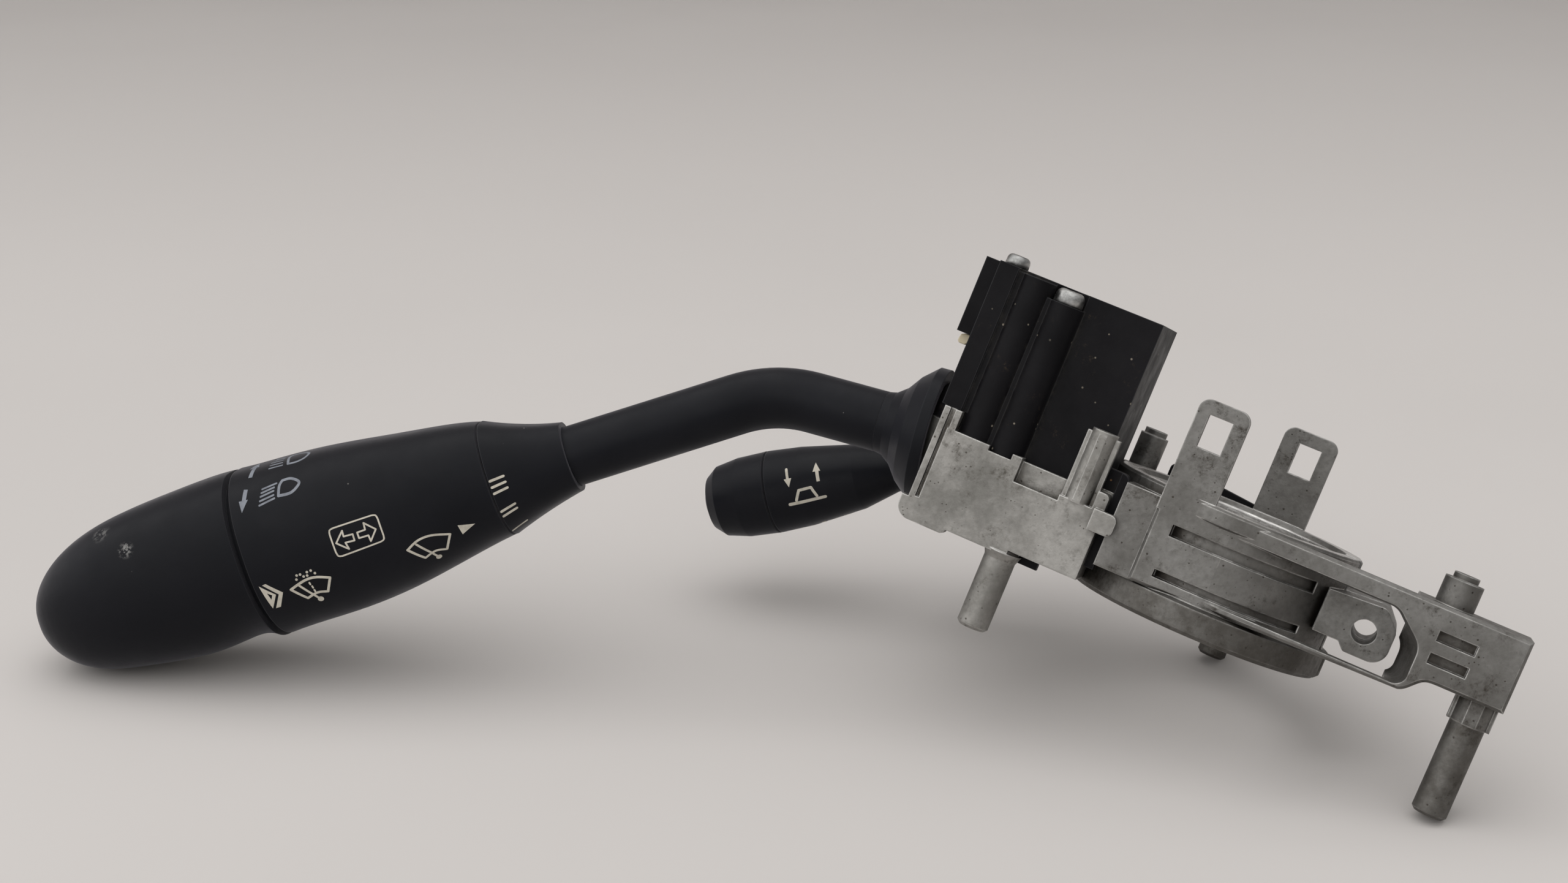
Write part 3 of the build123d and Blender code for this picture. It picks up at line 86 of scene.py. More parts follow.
camera = bpy.data.objects.new("camera", bpy.data.cameras.new("camera"))
camera.data.sensor_width = SENSOR_W
camera.data.lens = LENS
camera.data.clip_start, camera.data.clip_end = CLIP_NEAR, CLIP_FAR
camera.location = CAMERA_AT
camera.rotation_euler = [radians(angle) for angle in CAMERA_TURN]
scene.collection.objects.link(camera)
scene.camera = camera


def mesh_object(name, verts, faces, smooth=False):
    mesh = bpy.data.meshes.new(name)
    mesh.from_pydata([tuple(v) for v in verts], [], faces)
    mesh.validate()
    if smooth:
        mesh.polygons.foreach_set("use_smooth", [True] * len(mesh.polygons))
    mesh.update()
    made = bpy.data.objects.new(name, mesh)
    scene.collection.objects.link(made)
    return made


def sweep():
    """Bench top that curves up into a backdrop."""
    bend = [step * pi / (2 * BEND_STEPS) for step in range(1, BEND_STEPS + 1)]
    rows = [(BENCH_NEAR, 0.0), (BENCH_FAR, 0.0)]
    rows += [(BENCH_FAR + BEND_R * sin(angle), BEND_R - BEND_R * cos(angle)) for angle in bend]
    rows.append((BENCH_FAR + BEND_R, BACKDROP_TOP))
    verts = [(x, y, z) for y, z in rows for x in (-BENCH_HALF_W, BENCH_HALF_W)]
    faces = [(2 * i, 2 * i + 1, 2 * i + 3, 2 * i + 2) for i in range(len(rows) - 1)]
    floor = mesh_object("bench", verts, faces, smooth=True)
    return floor


def area_light(name, at, size, power):
    data = bpy.data.lights.new(name, "AREA")
    data.shape, data.size, data.size_y = "RECTANGLE", size[0], size[1]
    data.energy, data.color = power, LIGHT_COLOUR
    light = bpy.data.objects.new(name, data)
    light.location = at
    light.rotation_euler = (LIGHT_AIM - Vector(at)).to_track_quat("-Z", "Y").to_euler()
    scene.collection.objects.link(light)


def room():
    """Soft room light: bright above and to the left, dimmer low down on the right."""
    world = bpy.data.worlds.new("room")
    scene.world = world
    world.use_nodes = True
    tree = world.node_tree
    way = tree.nodes.new("ShaderNodeTexCoord").outputs["Generated"]
    lean = tree.nodes.new("ShaderNodeVectorMath")
    lean.operation = "DOT_PRODUCT"
    lean.inputs[1].default_value = ROOM_WAY
    tree.links.new(way, lean.inputs[0])
    level = tree.nodes.new("ShaderNodeMapRange")
    level.interpolation_type = "SMOOTHSTEP"
    for name, value in ROOM_FADE.items():
        level.inputs[name].default_value = value
    tree.links.new(lean.outputs["Value"], level.inputs["Value"])
    sky = tree.nodes["Background"]
    sky.inputs["Color"].default_value = ROOM_COLOUR
    tree.links.new(level.outputs["Result"], sky.inputs["Strength"])


area_light("top", at=(-0.3, 0.3, 1.4), size=(1.9, 1.5), power=4.6)
area_light("front", at=(-0.7, -1.1, 0.9), size=(1.0, 0.8), power=1.0)
room()


# ---- shader helpers; sizes in mm, colours in linear RGB ----

class Shader:
    """Builds the nodes of one material."""

    def __init__(self, name):
        self.made = bpy.data.materials.new(name)
        self.made.use_nodes = True
        self.tree = self.made.node_tree
        self.surface = self.tree.nodes["Principled BSDF"]
        self.object = self.tree.nodes.new("ShaderNodeTexCoord").outputs["Object"]

    def node(self, kind, **values):
        made = self.tree.nodes.new(kind)
        for key, value in values.items():
            setattr(made, key, value)
        return made

    def join(self, value, socket):
        """Links another node's output to the socket, or sets a constant on it."""
        if isinstance(value, bpy.types.NodeSocket):
            self.tree.links.new(value, socket)
        elif socket.type == "RGBA":
            socket.default_value = (*value, 1.0)
        else:
            socket.default_value = value

    def set(self, **values):
        for key, value in values.items():
            self.join(value, self.surface.inputs[key.replace("_", " ")])

    def noise(self, size, detail, rough, where=None):
        """Noise from 0 to 1 with features of about the given size."""
        made = self.node("ShaderNodeTexNoise")
        made.inputs["Scale"].default_value = 1.0 / MM / size
        made.inputs["Detail"].default_value = detail
        made.inputs["Roughness"].default_value = rough
        self.join(where or self.object, made.inputs["Vector"])
        return made.outputs["Fac"]

    def cells(self, size):
        """Distance to the nearest cell's middle, in cell sizes, and that cell's random colour."""
        made = self.node("ShaderNodeTexVoronoi")
        made.inputs["Scale"].default_value = 1.0 / MM / size
        self.join(self.object, made.inputs["Vector"])
        return made.outputs["Distance"], made.outputs["Color"]

    def ramp(self, value, low, high, start=0.0, end=1.0):
        """Smooth step: start where the value is at low, end where it is at high."""
        made = self.node("ShaderNodeMapRange", interpolation_type="SMOOTHSTEP")
        for name, amount in (("Value", value), ("From Min", low), ("From Max", high), ("To Min", start),
                             ("To Max", end)):
            self.join(amount, made.inputs[name])
        return made.outputs["Result"]

    def patches(self, size, detail, rough, low, high, start=0.0, end=1.0):
        """Noise put through a ramp."""
        return self.ramp(self.noise(size, detail, rough), low, high, start, end)

    def math(self, kind, a, b=0.0):
        made = self.node("ShaderNodeMath", operation=kind)
        self.join(a, made.inputs[0])
        self.join(b, made.inputs[1])
        return made.outputs[0]

    def times(self, a, b):
        return self.math("MULTIPLY", a, b)

    def vector(self, kind, a, b):
        made = self.node("ShaderNodeVectorMath", operation=kind)
        self.join(a, made.inputs[0])
        self.join(b, made.inputs[1])
        return made.outputs["Value" if kind in ("DISTANCE", "DOT_PRODUCT") else "Vector"]

    def mix(self, amount, a, b):
        """Colour a where the amount is 0 and b where it is 1."""
        made = self.node("ShaderNodeMix", data_type="RGBA")
        self.join(amount, made.inputs["Factor"])
        colours = [s for s in made.inputs if s.type == "RGBA"]
        self.join(a, colours[0])
        self.join(b, colours[1])
        return [s for s in made.outputs if s.type == "RGBA"][0]

    def split(self, vector):
        made = self.node("ShaderNodeSeparateXYZ")
        self.join(vector, made.inputs[0])
        return made.outputs

    def column(self):
        """Position in the column frame."""
        made = self.node("ShaderNodeMapping", vector_type="POINT")
        made.inputs["Scale"].default_value = (1.0 / MM,) * 3
        made.inputs["Rotation"].default_value = UNTILT.to_euler("XYZ")
        made.inputs["Location"].default_value = -(UNTILT @ REST_SHIFT)
        self.join(self.object, made.inputs["Vector"])
        return made.outputs["Vector"]

    def crevice(self, reach):
        """1 in the open and 0 deep in a corner."""
        made = self.node("ShaderNodeAmbientOcclusion", samples=6, only_local=True)
        made.inputs["Distance"].default_value = reach * MM
        return made.outputs["AO"]

    def edges(self, radius):
        """Normal with rounded edges, and a mask that is 1 on those edges."""
        made = self.node("ShaderNodeBevel", samples=6)
        made.inputs["Radius"].default_value = radius * MM
        flat = self.node("ShaderNodeNewGeometry").outputs["Normal"]
        turn = self.vector("DOT_PRODUCT", made.outputs["Normal"], flat)
        return made.outputs["Normal"], self.ramp(turn, 0.995, 0.86)

    def specks(self, size, share, width):
        """Mask of scattered specks: a share of the cells carries one, width cell sizes wide."""
        near, tint = self.cells(size)
        chosen = self.ramp(self.split(tint)[0], 1.0 - share, 1.0 - share + 0.02)
        return self.times(self.ramp(near, width, width * 0.5), chosen)

    def bump(self, height, depth, normal=None):
        made = self.node("ShaderNodeBump")
        made.inputs["Distance"].default_value = depth * MM
        made.inputs["Strength"].default_value = 1.0
        self.join(height, made.inputs["Height"])
        if normal is not None:
            self.join(normal, made.inputs["Normal"])
        self.set(Normal=made.outputs["Normal"])


# ---- materials ----

def casting(name, pale, dark, dirt_and_shade, wear_and_highlight, spots):
    """Die-cast metal: mottled skin, grime spots, pits, painted shade in the corners, and edges made bright by
    rubbing and a painted highlight.
    """
    s = Shader(name)
    normal, edge = s.edges(0.45)
    skin = s.mix(s.patches(14, 6, 0.62, 0.3, 0.7), pale, dark)
    skin = s.mix(s.patches(1.6, 5, 0.75, 0.5, 0.7, 0.0, 0.6), skin, dark)
    grime = s.times(s.patches(8, 8, 0.8, 0.52, 0.68), spots)
    skin = s.mix(s.times(grime, s.patches(0.9, 4, 0.8, 0.42, 0.6, 0.35, 1.0)), skin, dirt_and_shade)
    # Painted shade: corners and creases are darkened towards the dark colour
    skin = s.mix(s.ramp(s.crevice(3.0), 0.8, 0.3, 0.0, 0.9), skin, dirt_and_shade)
    coarse = s.specks(1.5, 0.2, 0.17)
    fine = s.times(s.specks(0.75, 0.3, 0.26), s.patches(6, 4, 0.7, 0.46, 0.6))
    pits = s.math("MAXIMUM", coarse, fine)
    skin = s.mix(s.times(pits, 0.85), skin, dirt_and_shade)
    # Edges lightened: partly rubbed wear, partly a painted highlight
    rubbed_and_highlit = s.times(edge, s.patches(5, 4, 0.7, 0.42, 0.6, 0.35, 1.0))
    skin = s.mix(rubbed_and_highlit, skin, wear_and_highlight)
    return s, skin, s.patches(1.1, 3, 0.6, 0.3, 0.7, 0.42, 0.6), normal, pits


def carrier_metal():
    """Dark casting, turned bright in its bore and on the ring's top, and darker towards the bottom of its
    flange.
    """
    turned, turned_dark, stain = (0.62, 0.61, 0.59), (0.42, 0.41, 0.4), (0.2, 0.185, 0.165)
    flange_low_tone, low_tone_top, low_tone_full = (0.062, 0.056, 0.048), 6.2, 4.6
    fine_lines = (0.00012, 0.00012, 0.001)
    s, skin, rough, normal, pits = casting(
        "carrier_casting", pale=(0.2, 0.195, 0.185), dark=(0.115, 0.11, 0.102),
        dirt_and_shade=(0.034, 0.028, 0.022), wear_and_highlight=(0.58, 0.57, 0.55), spots=1.0)
    x, y, z = s.split(s.column())
    radius = s.math("SQRT", s.math("ADD", s.times(x, x), s.times(y, y)))
    bore = s.ramp(radius, BORE_R + 0.35, BORE_R + 0.15)
    crown = s.times(s.ramp(z, RING_H - 0.12, RING_H - 0.02), s.ramp(z, RING_H + 0.12, RING_H + 0.02))
    crown = s.times(crown, s.ramp(radius, RING_R + 0.9, RING_R + 0.6))
    machined = s.math("MAXIMUM", bore, crown)
    lines = s.noise(0.35, 2, 0.5, where=s.vector("MULTIPLY", s.column(), fine_lines))
    bright = s.mix(s.ramp(lines, 0.35, 0.65), turned, turned_dark)
    # The flange is darkened in blotches towards its bottom
    low = s.times(s.ramp(z, low_tone_top, low_tone_full, 0.0, 0.75), s.patches(6, 6, 0.7, 0.3, 0.62, 0.4, 1.0))
    skin = s.mix(low, skin, flange_low_tone)
    bright = s.mix(s.patches(5, 6, 0.7, 0.55, 0.7, 0.0, 0.6), bright, stain)
    s.set(Base_Color=s.mix(machined, skin, bright), Metallic=0.85,
          Roughness=s.math("SUBTRACT", rough, s.times(machined, 0.18)))
    s.bump(s.math("SUBTRACT", s.noise(0.8, 4, 0.65), s.times(pits, 0.8)), 0.045, normal)
    return s.made


def base_metal():
    """Paler casting of the stalk base."""
    s, skin, rough, normal, pits = casting(
        "base_casting", pale=(0.335, 0.325, 0.306), dark=(0.17, 0.165, 0.152),
        dirt_and_shade=(0.06, 0.052, 0.042), wear_and_highlight=(0.66, 0.65, 0.63), spots=0.8)
    s.set(Base_Color=skin, Metallic=0.85, Roughness=rough)
    s.bump(s.math("SUBTRACT", s.noise(0.7, 4, 0.65), pits), 0.05, normal)
    return s.made


def housing_plastic():
    """Moulded black plastic with dust in the corners, painted highlights on its edges, smears, and pale and
    brown specks.
    """
    black, grey, edge_highlight = (0.0035, 0.0032, 0.004), (0.0065, 0.006, 0.0072), (0.07, 0.07, 0.074)
    dust, smear = (0.075, 0.068, 0.058), (0.06, 0.045, 0.03)
    pale_speck, brown_speck = (0.2, 0.175, 0.14), (0.2, 0.11, 0.05)
    s = Shader("housing_moulding")
    normal, edge = s.edges(0.35)
    skin = s.mix(s.patches(20, 5, 0.6, 0.35, 0.7), black, grey)
    corners = s.times(s.ramp(s.crevice(2.5), 0.8, 0.35), s.patches(3, 5, 0.7, 0.4, 0.65, 0.0, 0.5))
    skin = s.mix(corners, skin, dust)
    # Painted highlight: the edges are lightened
    skin = s.mix(s.times(edge, 0.55), skin, edge_highlight)
    smeared = s.times(s.patches(7, 6, 0.75, 0.54, 0.7), s.patches(1.1, 4, 0.8, 0.5, 0.68))
    skin = s.mix(s.times(smeared, 0.5), skin, smear)
    skin = s.mix(s.specks(2.2, 0.28, 0.13), skin, pale_speck)
    skin = s.mix(s.specks(4.5, 0.35, 0.07), skin, brown_speck)
    s.set(Base_Color=skin, Roughness=s.patches(6, 5, 0.65, 0.3, 0.7, 0.42, 0.6), Specular_IOR_Level=0.1,
          Sheen_Weight=0.02, Sheen_Roughness=0.4)
    s.bump(s.noise(0.32, 3, 0.55), 0.022, normal)
    return s.made


# Distance along the handle, degrees about it, distance from its axis and size of the cap's scuffs
SCUFFS = ((95.1, -33.6, 16.0, 3.2), (89.7, -54.0, 16.6, 2.3))


def stalk_plastic():
    """Fine-grained matt plastic of the levers, with painted highlights on its edges, a few specks and the
    cap's scuffs.
    """
    black, grey, edge_highlight = (0.0028, 0.0032, 0.0052), (0.0052, 0.0056, 0.0082), (0.06, 0.06, 0.065)
    speck, scuff, sheen = (0.17, 0.16, 0.15), (0.3, 0.295, 0.285), (0.92, 0.9, 1.0)
    s = Shader("stalk_grain")
    normal, edge = s.edges(0.3)
    skin = s.mix(s.patches(26, 4, 0.55, 0.35, 0.68), black, grey)
    # Painted highlight: the edges are lightened
    skin = s.mix(s.times(edge, 0.45), skin, edge_highlight)
    skin = s.mix(s.specks(3.4, 0.13, 0.05), skin, speck)
    side = HANDLE_AXIS.cross(HANDLE_UP).normalized()
    up = side.cross(HANDLE_AXIS)
    for distance, angle, radius, size in SCUFFS:
        way = up * cos(radians(angle)) + side * sin(radians(angle))
        spot = place(COLLAR_START + HANDLE_AXIS * distance + way * radius)
        reach = s.vector("DISTANCE", s.object, tuple(spot))
        patch = s.times(s.ramp(reach, size * MM, 0.3 * size * MM), s.patches(0.9, 5, 0.7, 0.46, 0.58))
        skin = s.mix(s.times(patch, 0.8), skin, scuff)
    s.set(Base_Color=skin, Roughness=s.patches(9, 5, 0.6, 0.3, 0.7, 0.36, 0.5), Specular_IOR_Level=0.14,
          Sheen_Weight=0.16, Sheen_Roughness=0.36, Sheen_Tint=sheen)
    s.bump(s.noise(0.28, 3, 0.6), 0.02, normal)
    return s.made


def cream_plastic():
    cream, tan, dirt_and_shade = (0.6, 0.52, 0.36), (0.5, 0.42, 0.28), (0.16, 0.12, 0.075)
    s = Shader("cream_moulding")
    normal, _ = s.edges(0.25)
    skin = s.mix(s.patches(6, 5, 0.6, 0.35, 0.7), cream, tan)
    # Painted shade: corners are darkened
    skin = s.mix(s.ramp(s.crevice(2.0), 0.8, 0.3, 0.0, 0.6), skin, dirt_and_shade)
    s.set(Base_Color=skin, Roughness=s.patches(2, 3, 0.6, 0.3, 0.7, 0.4, 0.55))
    s.bump(s.noise(0.6, 3, 0.6), 0.015, normal)
    return s.made


def steel(name, pale, dark, smooth, rough):
    """Bare or plated steel with painted shade in its corners and edges made bright by wear and a painted
    highlight.
    """
    dirt_and_shade, wear_and_highlight = (0.05, 0.045, 0.04), (0.85, 0.85, 0.84)
    s = Shader(name)
    normal, edge = s.edges(0.18)
    skin = s.mix(s.patches(2.5, 6, 0.7, 0.38, 0.66), pale, dark)
    # Painted shade: corners are darkened
    skin = s.mix(s.ramp(s.crevice(1.2), 0.75, 0.25, 0.0, 0.9), skin, dirt_and_shade)
    # Edges lightened: partly wear, partly a painted highlight
    skin = s.mix(s.times(edge, 0.5), skin, wear_and_highlight)
    s.set(Base_Color=skin, Metallic=1.0, Roughness=s.patches(1.2, 4, 0.65, 0.3, 0.7, smooth, rough))
    s.bump(s.noise(0.4, 3, 0.6), 0.01, normal)
    return s.made


def tinned_brass():
    tin, brass = (0.72, 0.66, 0.5), (0.5, 0.4, 0.22)
    s = Shader("tinned_pins")
    skin = s.mix(s.patches(1.5, 4, 0.6, 0.4, 0.65), tin, brass)
    s.set(Base_Color=skin, Metallic=1.0, Roughness=s.patches(0.8, 3, 0.6, 0.3, 0.7, 0.22, 0.4))
    s.bump(s.noise(0.5, 3, 0.5), 0.008)
    return s.made


def board_lacquer():
    dark_green, green = (0.02, 0.1, 0.045), (0.035, 0.15, 0.07)
    s = Shader("board_lacquer")
    skin = s.mix(s.patches(3, 5, 0.6, 0.42, 0.58), dark_green, green)
    s.set(Base_Color=skin, Roughness=s.patches(1.4, 3, 0.6, 0.3, 0.7, 0.25, 0.42))
    s.bump(s.noise(0.7, 3, 0.5), 0.01)
    return s.made


def symbol_paint(name, fresh, faded):
    s = Shader(name)
    skin = s.mix(s.patches(1.6, 5, 0.65, 0.4, 0.7), fresh, faded)
    s.set(Base_Color=skin, Roughness=s.patches(0.9, 3, 0.6, 0.3, 0.7, 0.5, 0.68))
    s.bump(s.noise(0.3, 3, 0.6), 0.012)
    return s.made


def bench_paper():
    """Pale bench whose own tone, with painted shade darkening it towards the back and up the backdrop, is
    seen by the camera; light that falls on it meets a mid grey.
    """
    near, far = (0.55, 0.525, 0.508), (0.355, 0.334, 0.322)
    patch, plain = (0.45, 0.43, 0.415), (0.5, 0.49, 0.48)
    s = Shader("bench_paper")
    _, y, z = s.split(s.object)
    # Painted shade: the tone darkens from the near bench to the top of the backdrop
    tone = s.mix(s.ramp(s.math("ADD", y, z), -0.1, 1.2), near, far)
    tone = s.mix(s.patches(220, 3, 0.5, 0.3, 0.7, 0.0, 0.2), tone, patch)
    ray = s.node("ShaderNodeLightPath").outputs
    mirrored = s.math("MAXIMUM", ray["Is Glossy Ray"], ray["Is Transmission Ray"])
    seen = s.math("MAXIMUM", ray["Is Camera Ray"], mirrored)
    s.set(Base_Color=s.mix(seen, plain, tone), Roughness=0.9, Specular_IOR_Level=0.15)
    return s.made


STALK, HOUSING = stalk_plastic(), housing_plastic()
ZINC = steel("zinc_screw", pale=(0.46, 0.46, 0.45), dark=(0.24, 0.24, 0.235), smooth=0.3, rough=0.5)
ROD = steel("satin_rod", pale=(0.56, 0.55, 0.54), dark=(0.4, 0.39, 0.38), smooth=0.3, rough=0.45)
CREAM, BRASS, BOARD = cream_plastic(), tinned_brass(), board_lacquer()
PAINT = symbol_paint("symbol_paint", fresh=(0.56, 0.52, 0.44), faded=(0.44, 0.405, 0.34))
BLUE_PAINT = symbol_paint("lamp_symbol_paint", fresh=(0.19, 0.205, 0.235), faded=(0.13, 0.14, 0.165))

# The finish of every CAD node, also of those that are replaced further down
FINISH = {
    "column_carrier": carrier_metal(), "stalk_base": base_metal(),
    "base_screws": ZINC, "housing_screws": ZINC, "roof_screw": ZINC, "rear_screws": ZINC,
    "beam_pin": ZINC, "adjust_pin": ZINC,
    "switch_housing": HOUSING, "connector_shroud": HOUSING, "harness_guide": HOUSING,
    "rear_switch_housing": HOUSING, "rear_cover": HOUSING, "handle_hub": HOUSING, "wash_switch": HOUSING,
    "connector_pins": BRASS, "contact_slider": BRASS,
    "circuit_board": BOARD, "contact_plate": BOARD,
    "connector_latch": CREAM, "detent_track": CREAM, "turn_block": CREAM, "click_ring": CREAM,
    "wash_plunger": CREAM, "adjust_block": CREAM,
    "lever_root": ROD, "handle_rod": ROD, "rod_clip": ROD, "detent_plunger": ROD, "adjust_root": ROD,
    "boot_bell": STALK, "neck_tube": STALK, "collar": STALK, "handle_shell": STALK, "end_cap": STALK,
    "adjust_body": STALK, "adjust_knob": STALK,
}
for node_name, finish in FINISH.items():
    NODES[node_name].data.materials.clear()
    NODES[node_name].data.materials.append(finish)

sweep().data.materials.append(bench_paper())


# ---- printing on a curved surface, in mm ----

# How far the paint stands out and reaches in, the longest edge, and how near points are merged
PRINT_LIFT, PRINT_SINK, PRINT_STEP, PRINT_MERGE = 0.03, 0.06, 0.8, 1e-4
# Where rays start and how far they may reach, as shares of the wrap's radius
RAY_START, RAY_REACH = 3, 2.6
DOT_SIDES, END_SIDES = 14, 10


class Wrap:
    """Maps (distance along an axis, angle about it) onto the outside of a node."""

    def __init__(self, start, axis, up, node, radius):
        self.start, self.axis, self.radius = start, axis, radius
        self.side = axis.cross(up).normalized()
        self.up = self.side.cross(axis)
        mesh = NODES[node].data
        self.skin = BVHTree.FromPolygons([v.co for v in mesh.vertices], [p.vertices for p in mesh.polygons])

    def point(self, s, angle, lift):
        way = self.up * cos(angle) + self.side * sin(angle)
        out = (TILT @ way).normalized()
        middle = self.start + self.axis * s
        hit, _, _, reach = self.skin.ray_cast(place(middle + way * RAY_START * self.radius), -out)
        if hit is None or reach >= RAY_REACH * self.radius * MM:
            hit = place(middle + way * self.radius)
        return hit + out * lift * MM


HANDLE = Wrap(COLLAR_START, HANDLE_AXIS, HANDLE_UP, "handle_shell", HANDLE_R)
COLLAR = Wrap(COLLAR_START, HANDLE_AXIS, HANDLE_UP, "collar", COLLAR_R)
LEVER = Wrap(ADJUST_PIVOT, ADJUST_AXIS, UP, "adjust_body", LEVER_R)


def disc(x, y, radius, count=DOT_SIDES):
    angles = [2 * pi * i / count for i in range(count)]
    return [(x + radius * cos(angle), y + radius * sin(angle)) for angle in angles]


def stroke(points, width, closed=False):
    """Line with round joints, as convex outlines: one box for each part and a disc at each point."""
    shapes, ends = [], list(points) + ([points[0]] if closed else [])
    for (x0, y0), (x1, y1) in zip(ends, ends[1:]):
        length = hypot(x1 - x0, y1 - y0) or 1.0
        nx, ny = -(y1 - y0) / length * width / 2, (x1 - x0) / length * width / 2
        shapes.append([(x0 + nx, y0 + ny), (x0 - nx, y0 - ny), (x1 - nx, y1 - ny), (x1 + nx, y1 + ny)])
    return shapes + [disc(x, y, width / 2, END_SIDES) for x, y in ends]


def cut_up(shape, step):
    """The closed outline with no edge longer than step."""
    points = []
    for (x0, y0), (x1, y1) in zip(shape, shape[1:] + shape[:1]):
        parts = max(1, ceil(hypot(x1 - x0, y1 - y0) / step))
        points += [(x0 + (x1 - x0) * i / parts, y0 + (y1 - y0) * i / parts) for i in range(parts)]
    return points


def inside(shape, x, y):
    """Whether a ray from the point crosses the closed outline an odd number of times."""
    hit = False
    for (x0, y0), (x1, y1) in zip(shape, shape[1:] + shape[:1]):
        if (y0 > y) != (y1 > y) and x < (x1 - x0) * (y - y0) / (y1 - y0) + x0:
            hit = not hit
    return hit


def flat_mesh(shapes, holes):
    """Points and triangles that fill the outlines' union less the holes, on a grid fine enough to bend."""
    verts, edges = [], []
    for shape in [cut_up(outline, PRINT_STEP) for outline in shapes + holes]:
        first = len(verts)
        verts += [Vector(p) for p in shape]
        edges += [(first + i, first + (i + 1) % len(shape)) for i in range(len(shape))]
    low = [min(v[i] for v in verts) for i in (0, 1)]
    size = [max(v[i] for v in verts) - low[i] for i in (0, 1)]
    counts = [max(1, ceil(size[i] / PRINT_STEP)) for i in (0, 1)]
    for i in range(counts[0] + 1):
        for j in range(counts[1] + 1):
            verts.append(Vector((low[0] + size[0] * i / counts[0], low[1] + size[1] * j / counts[1])))
    flat, _, faces, *_ = delaunay_2d_cdt(verts, edges, [], 0, PRINT_MERGE)
    kept = []
    for face in faces:
        x, y = sum(flat[i][0] for i in face) / 3, sum(flat[i][1] for i in face) / 3
        if any(inside(s, x, y) for s in shapes) and not any(inside(s, x, y) for s in holes):
            kept.append(face)
    used = sorted({i for face in kept for i in face})
    index = {v: i for i, v in enumerate(used)}
    return [flat[i] for i in used], [tuple(index[i] for i in face) for face in kept]


def symbol(name, body, wrap, shapes, holes=(), paint=PAINT):
    """Thin closed solid in the form of the outlines, wrapped on the surface."""
    flat, faces = flat_mesh(shapes, list(holes))
    verts = [wrap.point(s, across / wrap.radius, lift)
             for lift in (PRINT_LIFT, -PRINT_SINK) for s, across in flat]
    count = len(flat)
    sides = dict.fromkeys(side for face in faces for side in zip(face, face[1:] + face[:1]))
    walls = [(b, a, a + count, b + count) for a, b in sides if (b, a) not in sides]
    under = [tuple(i + count for i in reversed(face)) for face in faces]
    made = mesh_object(name, verts, faces + under + walls)
    made.data.materials.append(paint)
    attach(made, body)


# ---- printed function symbols; points are (distance in mm, degrees) ----

# Widths of lines, radii of dots, and how far a box's corner is pulled in, as a share of its two steps
BEAM_W, LAMP_W, FAN_W, BLADE_W = 0.36, 0.55, 0.5, 0.45
BOX_W, TWIST_W, ARROW_W, BAR_W = 0.32, 0.34, 0.85, 0.5
BALL_R, DROP_R, CORNER_PULL = 0.62, 0.26, 0.22


def arc(wrap, points):
    """(distance, degrees) points as lengths on the wrapped surface."""
    return [(s, radians(a) * wrap.radius) for s, a in points]


def line(wrap, points, width, closed=False):
    return stroke(arc(wrap, points), width, closed)


def shaft(wrap, start, end, width):
    """Straight line with square ends."""
    return stroke(arc(wrap, [start, end]), width)[:1]


def curved(points, steps=5):
    """The points with a smooth curve led through them."""
    run = [points[0]] + list(points) + [points[-1]]
    curve = [points[0]]
    for a, b, c, d in zip(run, run[1:], run[2:], run[3:]):
        for step in range(1, steps + 1):
            t = step / steps
            curve.append(tuple(0.5 * (2 * q + (r - p) * t + (2 * p - 5 * q + 4 * r - w) * t ** 2
                                      + (3 * q - p - 3 * r + w) * t ** 3)
                               for p, q, r, w in zip(a, b, c, d)))
    return curve


def spray(outer, inner, blade):
    """Fan of swept glass between two arcs, its wiper blade and the ball at the blade's foot."""
    shapes = line(HANDLE, curved(outer) + curved(inner), FAN_W, True) + line(HANDLE, blade, BLADE_W)
    return shapes + [disc(*arc(HANDLE, blade)[-1], BALL_R)]


def lamp(lens, bow, beams):
    """Lamp: a nearly straight lens, the reflector's bow and the beams."""
    shapes = line(HANDLE, curved(lens) + curved([lens[-1]] + bow + [lens[0]])[1:-1], LAMP_W, True)
    for beam in beams:
        shapes += line(HANDLE, beam, BEAM_W)
    return shapes


def wash_marks():
    symbol("mark_wash_fan", "handle", HANDLE, spray(
        [(59.7, -117.6), (57.73, -115.4), (55.67, -114.0), (53.76, -114.8), (51.38, -118.3)],
        [(53.06, -128.0), (54.59, -126.3), (55.81, -126.4), (57.39, -128.0)],
        [(57.84, -116.3), (56.07, -126.3), (55.18, -132.1)]))
    jet, jet_end = [(55.65, -117.0), (55.45, -120.1), (55.4, -123.3)], (-0.03, -1.3)
    drops = [(57.78, -111.8), (57.41, -109.1), (56.69, -109.2), (56.18, -111.3), (55.44, -111.5),
             (55.22, -109.1), (54.39, -108.9), (53.8, -111.6)]
    shapes = []
    for s, angle in jet:
        shapes += line(HANDLE, [(s, angle), (s + jet_end[0], angle + jet_end[1])], BEAM_W)
    symbol("mark_wash_drops", "handle", HANDLE, shapes + [disc(x, y, DROP_R) for x, y in arc(HANDLE, drops)])
    symbol("mark_wash_triangle", "handle", HANDLE,
           [arc(HANDLE, [(65.42, -108.0), (62.92, -117.5), (64.83, -127.0)]),
            arc(HANDLE, [(64.7, -108.1), (63.99, -107.8), (61.41, -117.6), (63.22, -127.6), (64.25, -127.5),
                         (62.37, -117.9)])],
           [arc(HANDLE, [(64.48, -114.5), (63.67, -117.0), (64.2, -120.0)])])


